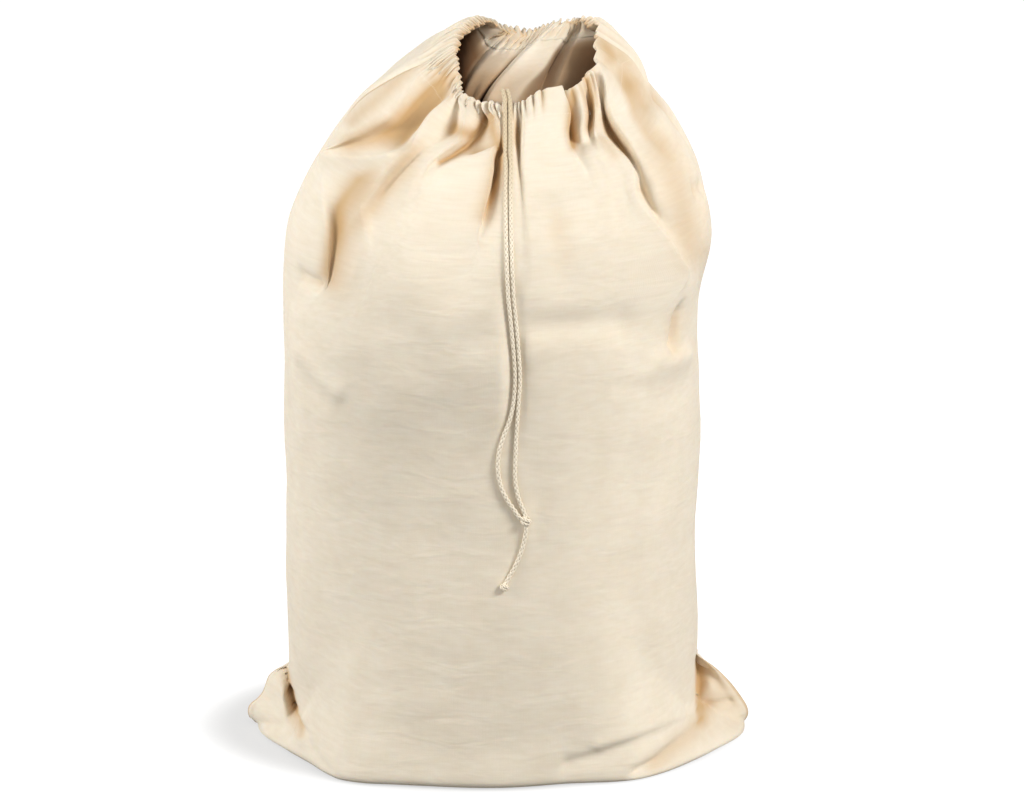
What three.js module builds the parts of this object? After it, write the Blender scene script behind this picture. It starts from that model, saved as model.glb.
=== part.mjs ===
// Canvas drawstring laundry bag, standing open on its flattened bottom, its mouth gathered on a drawcord.
// Two panels of canvas are sewn together down both sides and along the bottom. The hem of each panel is
// turned down at the mouth as a channel for the cotton cord, whose two strands leave it at the front and
// are knotted together. Millimetres, +Z up, front towards -Y. The origin lies on the floor under the
// middle of the bag.
import * as THREE from "three";

// The cloth
const PANEL_WIDTH = 610; // flat width of a panel, from side seam to side seam
const CLOTH = 1.6; // thickness of the canvas
const HEM_CLOTH = 3.0; // thickness where the hem is turned down
const HEM_HEIGHT = 24;
const SEAM_GAP = 0.3; // between the two panels along their seams

// The drawcord
const CORD_DIAMETER = 4;
const CORD_SIDES = 8;
const CORD_STEP = 12; // length of one straight facet of the cord
const KNOT_RADII = [6.2, 4.6, 5.8];
const END_KNOT_RADII = [4.9, 4.2, 4.9];

// Sections of the filled bag, from the floor to the mouth. Slope is how much each rises towards the back.
const SECTIONS = [
  { z: 0, centreX: -4.5, centreY: 0, halfWidth: 195.5, halfDepth: 195, slope: 0 },
  { z: 90, centreX: -4.5, centreY: 0, halfWidth: 195.5, halfDepth: 195, slope: 0 },
  { z: 250, centreX: -4.5, centreY: 0, halfWidth: 195.5, halfDepth: 195, slope: 0 },
  { z: 410, centreX: -4, centreY: 0, halfWidth: 196, halfDepth: 195, slope: 0 },
  { z: 470, centreX: 1.5, centreY: 0, halfWidth: 199.5, halfDepth: 194, slope: 0.03 },
  { z: 510, centreX: 5.5, centreY: 0, halfWidth: 193, halfDepth: 187, slope: 0.08 },
  { z: 547, centreX: 9, centreY: 0, halfWidth: 179, halfDepth: 172, slope: 0.15 },
  { z: 580, centreX: 13, centreY: -1, halfWidth: 159, halfDepth: 151, slope: 0.22 },
  { z: 605, centreX: 18, centreY: -3, halfWidth: 138, halfDepth: 128, slope: 0.3 },
  { z: 622, centreX: 24, centreY: -4, halfWidth: 116, halfDepth: 106, slope: 0.37 },
  { z: 634, centreX: 29, centreY: -4, halfWidth: 94, halfDepth: 87, slope: 0.42 },
  { z: 642, centreX: 32.5, centreY: -4, halfWidth: 71, halfDepth: 69, slope: 0.45 },
];

// Ridges of the gathered neck, as angles in degrees at four stations: 180 is the left seam, 270 the front and
// 360 the right seam. Depth is the share of the gathers that the trough after the ridge takes up.
const RIDGE_STATIONS = { shoulder: 540, yoke: 600, neck: 650, rim: 696 };
const RIDGES = [
  { name: "left_brow", shoulder: 189, yoke: 193, neck: 196, rim: 184, depth: 1.1 },
  { name: "left_sweep", shoulder: 219, yoke: 226, neck: 221, rim: 212, depth: 1.0 },
  { name: "hem_fold", shoulder: 236, yoke: 239, neck: 239, rim: 234, depth: 0.9 },
  { name: "cord_left", shoulder: 251, yoke: 254, neck: 255, rim: 248, depth: 1.1 },
  { name: "cord_ridge", shoulder: 271, yoke: 270, neck: 264, rim: 258, depth: 0.6 },
  { name: "flap", shoulder: 290, yoke: 285, neck: 280, rim: 279, depth: 1.3 },
  { name: "inner_right", shoulder: 311, yoke: 305, neck: 298, rim: 303, depth: 0.9 },
  { name: "outer_right", shoulder: 325, yoke: 321, neck: 321, rim: 329, depth: 1.2 },
  { name: "right_side", shoulder: 348, yoke: 347, neck: 347, rim: 351, depth: 1.0 },
  { name: "back_right", shoulder: 379, yoke: 376, neck: 374, rim: 376, depth: 1.2 },
  { name: "back_mid_right", shoulder: 410, yoke: 408, neck: 406, rim: 404, depth: 0.9 },
  { name: "back_mid", shoulder: 444, yoke: 446, neck: 441, rim: 438, depth: 1.3 },
  { name: "back_mid_left", shoulder: 476, yoke: 474, neck: 476, rim: 472, depth: 1.0 },
  { name: "back_left", shoulder: 511, yoke: 508, neck: 510, rim: 510, depth: 1.1 },
];

// Small gathers of the hem, on top of the ridges.
const GATHERS = 24;
const GATHER_WAVER = [
  { waves: 3, size: 1.1 }, // waves round the mouth, and how far they shift the gathers, in radians
  { waves: 5, size: 0.8 },
];
const GATHER_FADE = [8, 62]; // below the rim, in millimetres: full to gone
const RIDGE_FADE = [4, 58]; // below the rim: none to full
const ROUNDING = 0.3; // how far the sides of a fold roll towards its trough

// Creases: soft troughs (depth below 0) and ridges, from one place on the cloth to another.
const CREASES = [
  { name: "left_dent", from: [224, 575], to: [213, 478], width: 26, depth: -24 },
  { name: "left_dent_foot", from: [213, 500], to: [220, 448], width: 15, depth: -12 },
  { name: "left_dent_edge", from: [203, 545], to: [205, 470], width: 15, depth: 7 },
  { name: "right_dent", from: [330, 560], to: [333, 470], width: 24, depth: -17 },
  { name: "front_slump", from: [281, 439], to: [304, 433], width: 11, depth: -7 },
  { name: "right_dimple", from: [331, 420], to: [332, 388], width: 11, depth: -6 },
  { name: "left_ear_slit", from: [190, 66], to: [204, 35], width: 8, depth: -12 },
  { name: "left_ear_foot", from: [204, 35], to: [218, 16], width: 8, depth: -9 },
  { name: "right_ear_slit", from: [350, 66], to: [338, 35], width: 8, depth: -10 },
  { name: "right_ear_foot", from: [338, 35], to: [318, 18], width: 9, depth: -6 },
  { name: "right_foot_crease", from: [330, 44], to: [290, 24], width: 8, depth: -4 },
  { name: "back_left_slit", from: [170, 66], to: [150, 26], width: 9, depth: -9 },
  { name: "back_right_slit", from: [10, 66], to: [30, 26], width: 9, depth: -9 },
];
const CREASE_FLOOR = [5, 22]; // stations over which creases fade out towards the floor

// The bottom of the bag, wider than its filling. At each side seam the spare cloth stands out as an ear,
// whose two faces run flat along the floor to blunt corners. Higher up, each face ends at the filling.
const LEFT_EAR = { reach: 48, height: 73, tipReach: 41.5 };
const RIGHT_EAR = { reach: 57, height: 76, tipReach: 50.5 };
const EAR_CORNER = { reach: 27, angle: 49 };
const EAR_CREASE = { heights: [0, 35, 56, 76], angles: [49, 24, 13, 7], softness: 7 };
const SOFTNESS = 5; // rounding where faces of the bottom meet
const CORNER = { reach: 25, height: 42, spread: 16, fromSeam: 53 };
const EDGE_STATIONS = [2, 8]; // the rounded bottom edge
const EDGE_INSET = [3, 0.5];
const BASE_SHARES = [0, 0.5, 0.95]; // rows of the flat bottom, from its seam to its edge
const SEAM_SHARE = 0.95; // length of the bottom seam, as a share of the bottom's width

// Rows of the wall, by their distance up the cloth, and columns of each panel, closer together at the seams
const WALL_STATIONS = [24, 42, 60, 80, 400, 445, 485, 520, 550, 580, 606, 630, 650, 668, 682, 696];
const COLUMNS = 50;
const COLUMN_CROWDING = 0.3;

// Routes of the drawcord, chosen by hand: over the hem, down the neck and the front of the bag, to the knot
const LEFT_STRAND = [
  [5.6, -57, 620],
  [6.6, -62, 618],
  [7.4, -67, 615.6],
  [8.0, -72.5, 612.4],
  [8.2, -78, 608.4],
  [8.3, -84, 602.6],
  [8.4, -95, 592.5],
  [8.6, -108, 582],
  [8.8, -122.5, 572],
  [9.0, -137.4, 562],
  [9.0, -149, 549.5],
  [9.0, -162, 534.5],
  [9.2, -175.5, 517.5],
  [9.6, -187, 499.5],
  [10.2, -194.4, 478.5],
  [11.2, -196.6, 455],
  [13.6, -196.7, 430],
  [15.8, -196.5, 405],
  [17.0, -196.3, 382],
  [15.8, -196.4, 360],
  [12.4, -196.7, 343],
  [7.2, -197, 329],
  [3.0, -197.3, 314],
  [2.0, -197.3, 298],
  [5.0, -197.2, 282],
  [11.0, -197, 269],
  [16.2, -197, 261.6],
  [21.0, -197.2, 254.8],
];
const RIGHT_STRAND = [
  [10, -57, 620],
  [11, -62, 617.6],
  [11.8, -67, 615],
  [12.4, -72.5, 612],
  [12.6, -78, 608.2],
  [12.7, -84, 602],
  [12.8, -95.5, 592.5],
  [13, -109, 582],
  [13.2, -125.6, 572.6],
  [13.4, -137, 562],
  [13.4, -149.6, 550],
  [13.4, -162.6, 535],
  [13.6, -176.2, 518],
  [14, -187.6, 499.5],
  [14.6, -194.4, 478.5],
  [15.6, -195.7, 455],
  [18, -196, 430],
  [20.2, -195.9, 405],
  [21.4, -195.8, 382],
  [20.3, -195.9, 360],
  [18.8, -196, 338],
  [17.6, -196.2, 314],
  [17.2, -196.4, 290],
  [20, -196.6, 273],
  [25.8, -197, 257.3],
];
const KNOT = [27, -197.4, 251];
const TAIL = [
  [27.2, -197, 244.8],
  [25.4, -195.8, 232],
  [21.6, -195.8, 219],
  [16.4, -196.2, 207],
  [9.7, -197.5, 195],
];
const END_KNOT = [7.6, -199.2, 190.4];

const TURN = 360;
const radians = THREE.MathUtils.degToRad;
const mouthLength = 2 * PANEL_WIDTH;
const sectionNames = ["z", "centreX", "centreY", "halfWidth", "halfDepth", "slope"];

// How far up the cloth each section lies
const sectionStations = [0];
for (let i = 1; i < SECTIONS.length; i++) {
  const [below, above] = [SECTIONS[i - 1], SECTIONS[i]];
  const inwards = (above.halfWidth + above.halfDepth - below.halfWidth - below.halfDepth) / 2;
  sectionStations.push(sectionStations[i - 1] + Math.hypot(above.z - below.z, inwards));
}
const rimStation = sectionStations.at(-1);

// A smooth curve through the rows of a table: a cubic whose slope at each row is that of its neighbours.
function through(stations, values, station) {
  const slope = (i) => {
    const [a, b] = [Math.max(i - 1, 0), Math.min(i + 1, values.length - 1)];
    return (values[b] - values[a]) / (stations[b] - stations[a]);
  };
  let i = 0;
  while (i < stations.length - 2 && station > stations[i + 1]) i++;
  const span = stations[i + 1] - stations[i];
  const t = (station - stations[i]) / span;
  return (
    (1 + 2 * t) * (1 - t) ** 2 * values[i] +
    t * (1 - t) ** 2 * span * slope(i) +
    t * t * (3 - 2 * t) * values[i + 1] +
    t * t * (t - 1) * span * slope(i + 1)
  );
}

function sectionAt(station) {
  const row = {};
  for (const name of sectionNames) {
    row[name] = through(sectionStations, SECTIONS.map((s) => s[name]), station);
  }
  return row;
}

const bump = (distance, width) => Math.exp(-((distance / width) ** 2));
const fade = (value, [none, full]) => THREE.MathUtils.smoothstep(value, none, full);

// Angle in degrees from the nearer side seam
function fromSeam(angle) {
  const turn = THREE.MathUtils.euclideanModulo(angle, TURN / 2);
  return Math.min(turn, TURN / 2 - turn);
}

// The larger of two values, rounded off where they are close
function softMax(a, b, softness) {
  const closeness = Math.max(0, 1 - Math.abs(a - b) / softness);
  return Math.max(a, b) + (closeness ** 2 * softness) / 4;
}

// How far the bottom reaches past the filling: an ear's flat faces, the blunt corners and the rounded edge
function flare(angle, station) {
  const ear = Math.cos(radians(angle)) < 0 ? LEFT_EAR : RIGHT_EAR;
  const [low, high] = EDGE_STATIONS;
  const inset = station < high ? THREE.MathUtils.mapLinear(station, low, high, ...EDGE_INSET) : 0;
  if (station >= ear.height) return -inset;
  const turn = radians(fromSeam(angle));
  const corner = radians(EAR_CORNER.angle);
  const filling = SECTIONS[0].halfWidth;
  const tip = filling + ear.reach;
  const lean = (tip / (filling + EAR_CORNER.reach) - Math.cos(corner)) / Math.sin(corner);
  const narrowing = 1 - ((station / ear.height) * ear.reach) / tip;
  const face = (tip * narrowing) / (Math.cos(turn) + lean * Math.sin(turn)) - filling;
  const crease = through(EAR_CREASE.heights, EAR_CREASE.angles, station);
  const shown = 1 - fade(fromSeam(angle), [crease - EAR_CREASE.softness, crease + EAR_CREASE.softness]);
  const flap = -softMax(-Math.max(face, 0) * shown, -ear.tipReach, SOFTNESS);
  const rise = Math.max(0, 1 - station / CORNER.height);
  const blunt = CORNER.reach * bump(fromSeam(angle) - CORNER.fromSeam, CORNER.spread) * rise ** 1.5;
  return softMax(Math.max(flap, 0), blunt, SOFTNESS) - inset;
}

// Where an angle lies between the ridges on its two sides
function betweenRidges(angle, station) {
  const levels = Object.keys(RIDGE_STATIONS);
  const stations = Object.values(RIDGE_STATIONS);
  const held = THREE.MathUtils.clamp(station, stations[0], stations.at(-1));
  const angles = RIDGES.map((ridge) => through(stations, levels.map((level) => ridge[level]), held));
  angles.push(angles[0] + TURN);
  const turned = angles[0] + THREE.MathUtils.euclideanModulo(angle - angles[0], TURN);
  let i = 0;
  while (i < RIDGES.length - 1 && turned >= angles[i + 1]) i++;
  return { phase: (turned - angles[i]) / (angles[i + 1] - angles[i]), depth: RIDGES[i].depth };
}

// Half the depth that evenly spread folds need for the cloth's whole width to lie in a shorter section
function foldDepth(section, folds) {
  const radius = (section.halfWidth + section.halfDepth) / 2;
  const excess = Math.max(1, mouthLength / (2 * Math.PI * radius)) ** 2 - 1;
  return (radius / folds) * Math.sqrt(2 * excess);
}

// Folds of the neck at one place: how far they draw the cloth in, and how far they roll it sideways
function gathered(angle, station, section) {
  const below = rimStation - station;
  const { phase, depth } = betweenRidges(angle, station);
  const ridgeWave = 2 * Math.PI * phase;
  const ridge = foldDepth(section, RIDGES.length) * depth * fade(below, RIDGE_FADE);
  const turn = radians(angle);
  let gatherWave = GATHERS * turn;
  for (const { waves, size } of GATHER_WAVER) gatherWave += size * Math.sin(waves * turn);
  const gather = foldDepth(section, GATHERS) * (1 - fade(below, GATHER_FADE));
  return {
    inwards: ridge * (1 - Math.cos(ridgeWave)) + gather * (1 - Math.cos(gatherWave)),
    sideways: ROUNDING * (ridge * Math.sin(ridgeWave) + gather * Math.sin(gatherWave)),
  };
}

// How far the creases push the cloth out
function creased(angle, station, section) {
  const perDegree = radians((section.halfWidth + section.halfDepth) / 2);
  let out = 0;
  for (const crease of CREASES) {
    const near = THREE.MathUtils.euclideanModulo(angle - crease.from[0] + TURN / 2, TURN) - TURN / 2;
    const [turned, climbed] = [crease.to[0] - crease.from[0], crease.to[1] - crease.from[1]];
    const along = new THREE.Vector2(turned * perDegree, climbed);
    const place = new THREE.Vector2(near * perDegree, station - crease.from[1]);
    const share = THREE.MathUtils.clamp(place.dot(along) / along.lengthSq(), 0, 1);
    out += crease.depth * bump(place.distanceTo(along.multiplyScalar(share)), crease.width);
  }
  return out * fade(station, CREASE_FLOOR);
}

// The outside of the bag's wall at an angle and a distance up the cloth
function wallPoint(angle, station, folded = true) {
  const section = sectionAt(station);
  const turn = radians(angle);
  const [outX, outY] = [Math.cos(turn), Math.sin(turn)];
  let out = flare(angle, station);
  let sideways = 0;
  if (folded) {
    const folds = gathered(angle, station, section);
    out += creased(angle, station, section) - folds.inwards;
    sideways = folds.sideways;
  }
  const x = section.centreX + (section.halfWidth + out) * outX - sideways * outY;
  const y = section.centreY + (section.halfDepth + out) * outY + sideways * outX;
  return new THREE.Vector3(x, y, section.z + section.slope * y);
}

// The flat bottom, between its seam and its edge
function basePoint(angle, share, side) {
  const edge = wallPoint(angle, EDGE_STATIONS[0], false);
  const length = THREE.MathUtils.lerp(SEAM_SHARE, 1, share);
  const fromSeamLine = Math.max(Math.abs(edge.y) * share, SEAM_GAP / 2);
  return new THREE.Vector3(edge.x * length, side * fromSeamLine, 0);
}

// A closed sheet of cloth from a grid of points on its outside and the matching grid on its inside
function sheet(outside, inside) {
  const [rows, columns] = [outside.length, outside[0].length];
  const points = [...outside.flat(), ...inside.flat()];
  const out = (row, column) => row * columns + column;
  const into = (row, column) => rows * columns + out(row, column);
  const faces = [];
  const quad = (a, b, c, d) => faces.push(a, b, c, a, c, d);
  for (let row = 0; row < rows - 1; row++) {
    for (let column = 0; column < columns - 1; column++) {
      const [next, above] = [column + 1, row + 1];
      const corners = (at) => [at(row, column), at(row, next), at(above, next), at(above, column)];
      const [a, b, c, d] = corners(out);
      const [e, f, g, h] = corners(into);
      if (column < columns / 2 - 1) {
        quad(a, b, c, d);
        quad(e, h, g, f);
      } else {
        // Split along the other diagonal, so that the panel's two halves mirror each other
        quad(b, c, d, a);
        quad(h, g, f, e);
      }
    }
    const last = columns - 1;
    quad(out(row, 0), out(row + 1, 0), into(row + 1, 0), into(row, 0));
    quad(out(row, last), into(row, last), into(row + 1, last), out(row + 1, last));
  }
  for (let column = 0; column < columns - 1; column++) {
    const last = rows - 1;
    quad(out(0, column), into(0, column), into(0, column + 1), out(0, column + 1));
    quad(out(last, column), out(last, column + 1), into(last, column + 1), into(last, column));
  }
  const geometry = new THREE.BufferGeometry().setFromPoints(points);
  geometry.setIndex(faces);
  geometry.computeVertexNormals();
  return geometry;
}

// Outward directions of a grid of points, across their neighbours
function outwards(grid) {
  return grid.map((row, i) =>
    row.map((_, j) => {
      const [below, above] = [grid[Math.max(i - 1, 0)], grid[Math.min(i + 1, grid.length - 1)]];
      const up = new THREE.Vector3().subVectors(above[j], below[j]);
      const [before, after] = [row[Math.max(j - 1, 0)], row[Math.min(j + 1, row.length - 1)]];
      const across = new THREE.Vector3().subVectors(after, before);
      return across.cross(up).normalize();
    }),
  );
}

// One panel, from its half of the flat bottom up to its hem. It runs from one side seam to the other.
function panel(startAngle, side) {
  const lastColumn = COLUMNS - 1;
  const angles = [];
  for (let column = 0; column < COLUMNS; column++) {
    const t = column / lastColumn;
    const crowded = t - (COLUMN_CROWDING * Math.sin(2 * Math.PI * t)) / (2 * Math.PI);
    angles.push(startAngle + (crowded * TURN) / 2);
  }
  const stations = [...EDGE_STATIONS, ...WALL_STATIONS];
  const grid = (folded) => [
    ...BASE_SHARES.map((share) => angles.map((angle) => basePoint(angle, share, side))),
    ...stations.map((station) => {
      const row = angles.map((angle) => wallPoint(angle, station, folded));
      row[0].y += (side * SEAM_GAP) / 2;
      row[lastColumn].y += (side * SEAM_GAP) / 2;
      return row;
    }),
  ];
  const outside = grid(true);
  const across = outwards(outside);
  const plain = outwards(grid(false));
  const inside = outside.map((row, i) =>
    row.map((point, j) => {
      const station = stations[i - BASE_SHARES.length] ?? 0;
      const thickness = station > rimStation - HEM_HEIGHT ? HEM_CLOTH : CLOTH;
      const outward = across[i][j].clone().add(plain[i][j]);
      if (j === 0 || j === lastColumn) outward.y = 0; // the two panels' edges face each other squarely
      return point.clone().addScaledVector(outward.normalize(), -thickness);
    }),
  );
  return sheet(outside, inside);
}

// A stretch of the round drawcord along a route
function cord(route) {
  const path = new THREE.CatmullRomCurve3(route.map((point) => new THREE.Vector3(...point)));
  const section = new THREE.Shape();
  section.absarc(0, 0, CORD_DIAMETER / 2, 0, 2 * Math.PI);
  return new THREE.ExtrudeGeometry(section, {
    extrudePath: path,
    steps: Math.round(path.getLength() / CORD_STEP),
    curveSegments: CORD_SIDES / 2, // segments of a half circle
  });
}

function knot(radii, centre) {
  return new THREE.SphereGeometry(1, 12, 8).scale(...radii).translate(...centre);
}

const canvas = new THREE.MeshStandardMaterial({ color: 0xe6d8bb, roughness: 0.92, metalness: 0 });
const cotton = new THREE.MeshStandardMaterial({ color: 0xe9e0cb, roughness: 0.95, metalness: 0 });

const bag = new THREE.Group();
function add(name, geometry, material) {
  const mesh = new THREE.Mesh(geometry, material);
  mesh.name = name;
  bag.add(mesh);
}

add("front_panel", panel(180, -1), canvas);
add("back_panel", panel(360, 1), canvas);
add("cord_left", cord(LEFT_STRAND), cotton);
add("cord_right", cord(RIGHT_STRAND), cotton);
add("cord_knot", knot(KNOT_RADII, KNOT), cotton);
add("cord_tail", cord(TAIL), cotton);
add("end_knot", knot(END_KNOT_RADII, END_KNOT), cotton);

export default bag;
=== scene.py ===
import functools
import math

import bpy
import numpy as np
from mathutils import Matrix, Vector


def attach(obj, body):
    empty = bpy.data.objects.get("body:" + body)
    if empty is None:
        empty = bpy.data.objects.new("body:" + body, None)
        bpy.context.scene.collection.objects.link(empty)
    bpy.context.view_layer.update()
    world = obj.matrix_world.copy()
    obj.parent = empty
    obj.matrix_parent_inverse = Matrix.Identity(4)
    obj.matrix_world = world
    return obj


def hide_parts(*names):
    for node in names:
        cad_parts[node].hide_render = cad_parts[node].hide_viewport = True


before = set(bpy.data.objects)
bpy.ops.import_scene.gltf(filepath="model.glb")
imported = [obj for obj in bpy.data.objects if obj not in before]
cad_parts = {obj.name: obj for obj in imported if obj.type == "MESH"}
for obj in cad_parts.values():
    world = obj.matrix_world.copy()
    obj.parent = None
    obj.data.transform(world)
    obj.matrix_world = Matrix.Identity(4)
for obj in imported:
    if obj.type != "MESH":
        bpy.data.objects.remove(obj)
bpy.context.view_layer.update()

# The camera stands 3.2 m in front of the bag and a little above its mouth, as the photograph was taken.
# Its focal length comes from the bag's width in a picture 1024 by 811 pixels large.
IMAGE_WIDTH = 1024
IMAGE_HEIGHT = 811
FOCAL_PIXELS = 3383
SENSOR = 36.0
CAMERA_DISTANCE = 3.2
CAMERA_ELEVATION = math.radians(12.5)
CAMERA_TARGET = Vector((0.0145, 0.0, 0.313))

camera_data = bpy.data.cameras.new("camera")
camera_data.sensor_width = SENSOR
camera_data.lens = SENSOR * FOCAL_PIXELS / IMAGE_WIDTH
camera = bpy.data.objects.new("camera", camera_data)
backwards = Vector((0, -math.cos(CAMERA_ELEVATION), math.sin(CAMERA_ELEVATION)))
camera.location = CAMERA_TARGET + CAMERA_DISTANCE * backwards
camera.rotation_euler = (math.pi / 2 - CAMERA_ELEVATION, 0, 0)
bpy.context.collection.objects.link(camera)
bpy.context.scene.camera = camera

# The drawcord is a braided cotton cord, 4 mm thick. Its two strands come out of the mouth over the hem, lie
# side by side down the front of the bag, and are joined in a knot. One goes on as a tail with its own knot.
MM = 0.001
CORD_DIAMETER = 4.0
CORD_RADIUS = 2.1  # to the backs of its yarns
YARNS = 3  # yarns of the braid that run each way round
YARN_STEP = 5.2  # along the cord, from one yarn to the next
YARN_RELIEF = 0.42
RING_STEP = 0.5
RING_SIDES = 32
LEFT_STRAND = [
    [5.6, -57, 620],
    [6.6, -62, 618],
    [7.4, -67, 615.6],
    [8.0, -72.5, 612.4],
    [8.2, -78, 608.4],
    [8.3, -84, 602.6],
    [8.4, -95, 592.5],
    [8.6, -108, 582],
    [8.8, -122.5, 572],
    [9.0, -137.4, 562],
    [9.0, -149, 549.5],
    [9.0, -162, 534.5],
    [9.2, -175.5, 517.5],
    [9.6, -187, 499.5],
    [10.2, -194.4, 478.5],
    [11.2, -196.6, 455],
    [13.6, -196.7, 430],
    [15.8, -196.5, 405],
    [17.0, -196.3, 382],
    [15.8, -196.4, 360],
    [12.4, -196.7, 343],
    [7.2, -197, 329],
    [3.0, -197.3, 314],
    [2.0, -197.3, 298],
    [5.0, -197.2, 282],
    [11.0, -197, 269],
    [16.2, -197, 261.6],
    [21.0, -197.2, 254.8],
]
RIGHT_STRAND = [
    [10, -57, 620],
    [11, -62, 617.6],
    [11.8, -67, 615],
    [12.4, -72.5, 612],
    [12.6, -78, 608.2],
    [12.7, -84, 602],
    [12.8, -95.5, 592.5],
    [13, -109, 582],
    [13.2, -125.6, 572.6],
    [13.4, -137, 562],
    [13.4, -149.6, 550],
    [13.4, -162.6, 535],
    [13.6, -176.2, 518],
    [14, -187.6, 499.5],
    [14.6, -194.4, 478.5],
    [15.6, -195.7, 455],
    [18, -196, 430],
    [20.2, -195.9, 405],
    [21.4, -195.8, 382],
    [20.3, -195.9, 360],
    [18.8, -196, 338],
    [17.6, -196.2, 314],
    [17.2, -196.4, 290],
    [20, -196.6, 273],
    [25.8, -197, 257.3],
]
KNOT = [27, -197.4, 251]
TAIL = [
    [27.2, -197, 244.8],
    [25.4, -195.8, 232],
    [21.6, -195.8, 219],
    [16.4, -196.2, 207],
    [9.7, -197.5, 195],
]
END_KNOT = [7.6, -199.2, 190.4]


def through(stations, values, at):
    """A smooth curve through the rows of a table: a cubic whose slope at a row is that of its neighbours."""
    x = np.asarray(stations, float)
    y = np.asarray(values, float)
    before = np.maximum(np.arange(len(x)) - 1, 0)
    after = np.minimum(np.arange(len(x)) + 1, len(x) - 1)
    slope = (y[after] - y[before]) / (x[after] - x[before]).reshape(-1, *[1] * (y.ndim - 1))
    i = np.clip(np.searchsorted(x, at, side="right") - 1, 0, len(x) - 2)
    span = x[i + 1] - x[i]
    t = (at - x[i]) / span
    if y.ndim > 1:
        t = t[:, None]
        span = span[:, None]
    ends = (1 + 2 * t) * (1 - t) ** 2 * y[i] + t * t * (3 - 2 * t) * y[i + 1]
    return ends + t * (1 - t) ** 2 * span * slope[i] + t * t * (t - 1) * span * slope[i + 1]


def route_points(route, step):
    """Points a fixed step apart on the smooth curve through a route, by length along it."""
    corners = np.array(route, float)
    chords = np.concatenate([[0], np.cumsum(np.linalg.norm(np.diff(corners, axis=0), axis=1))])
    fine = through(chords, corners, np.linspace(0, chords[-1], 4000))
    lengths = np.concatenate([[0], np.cumsum(np.linalg.norm(np.diff(fine, axis=0), axis=1))])
    even = np.linspace(0, lengths[-1], max(2, round(lengths[-1] / step) + 1))
    return np.stack([np.interp(even, lengths, fine[:, axis]) for axis in range(3)], axis=1)


def grid_object(name, points, closed=False, uv=None, marks=None):
    """A mesh over a grid of points in millimetres, rows by columns. The columns of a closed grid meet."""
    rows, columns = points.shape[:2]
    index = np.arange(rows * columns).reshape(rows, columns)
    if closed:
        index = np.concatenate([index, index[:, :1]], axis=1)
    quads = np.stack([index[:-1, :-1], index[:-1, 1:], index[1:, 1:], index[1:, :-1]], axis=-1).reshape(-1, 4)
    mesh = bpy.data.meshes.new(name)
    mesh.vertices.add(rows * columns)
    mesh.vertices.foreach_set("co", (points * MM).astype(np.float32).ravel())
    mesh.loops.add(quads.size)
    mesh.loops.foreach_set("vertex_index", quads.astype(np.int32).ravel())
    mesh.polygons.add(len(quads))
    mesh.polygons.foreach_set("loop_start", np.arange(0, quads.size, 4, dtype=np.int32))
    mesh.update(calc_edges=True)
    mesh.polygons.foreach_set("use_smooth", np.ones(len(quads), dtype=bool))
    if uv is not None:
        layer = mesh.uv_layers.new(name="cloth")
        layer.data.foreach_set("uv", uv.reshape(-1, 2)[quads.ravel()].astype(np.float32).ravel())
    for mark, values in (marks or {}).items():
        attribute = mesh.attributes.new(mark, "FLOAT", "POINT")
        attribute.data.foreach_set("value", values.astype(np.float32).ravel())
    mesh.validate()
    piece = bpy.data.objects.new(name, mesh)
    bpy.context.collection.objects.link(piece)
    return piece


def braid_relief(turn, along):
    """Height of a round braid, 0 to 1. Yarns of two families wind opposite ways, each with a rounded back,
    and at each crossing the one that lies on top alternates."""
    one = YARNS * turn / (2 * np.pi) + along / YARN_STEP
    other = YARNS * turn / (2 * np.pi) - along / YARN_STEP
    over = np.cos(np.pi * one) * np.cos(np.pi * other)
    back_one = np.sqrt(np.abs(np.cos(np.pi * one))) * (0.55 + 0.45 * over)
    back_other = np.sqrt(np.abs(np.cos(np.pi * other))) * (0.55 - 0.45 * over)
    return np.maximum(back_one, back_other)


def braided_tube(points, radius):
    """A ring of braid round each point of a path, square to it: path + radius (cos turn, sin turn) in the
    plane of the ring, less what the relief of the braid leaves open. It closes over at both ends."""
    forward = np.gradient(points, axis=0)
    forward /= np.linalg.norm(forward, axis=1, keepdims=True)
    aside = np.array([1.0, 0.0, 0.0]) - forward * forward[:, :1]
    aside /= np.linalg.norm(aside, axis=1, keepdims=True)
    upright = np.cross(forward, aside)
    steps = np.linalg.norm(np.diff(points, axis=0), axis=1)
    along = np.concatenate([[0], np.cumsum(steps)])
    turn = np.linspace(0, 2 * np.pi, RING_SIDES, endpoint=False)
    relief = braid_relief(turn[None, :], along[:, None])
    from_end = np.minimum(along, along[-1] - along)
    rounding = np.sqrt(np.clip(1 - (1 - np.clip(from_end / radius, 0, 1)) ** 2, 0.0004, 1))
    reach = radius * rounding[:, None] * (1 - YARN_RELIEF * (1 - relief))
    ring = aside[:, None, :] * np.cos(turn)[None, :, None] + upright[:, None, :] * np.sin(turn)[None, :, None]
    return points[:, None, :] + reach[:, :, None] * ring, relief


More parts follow.
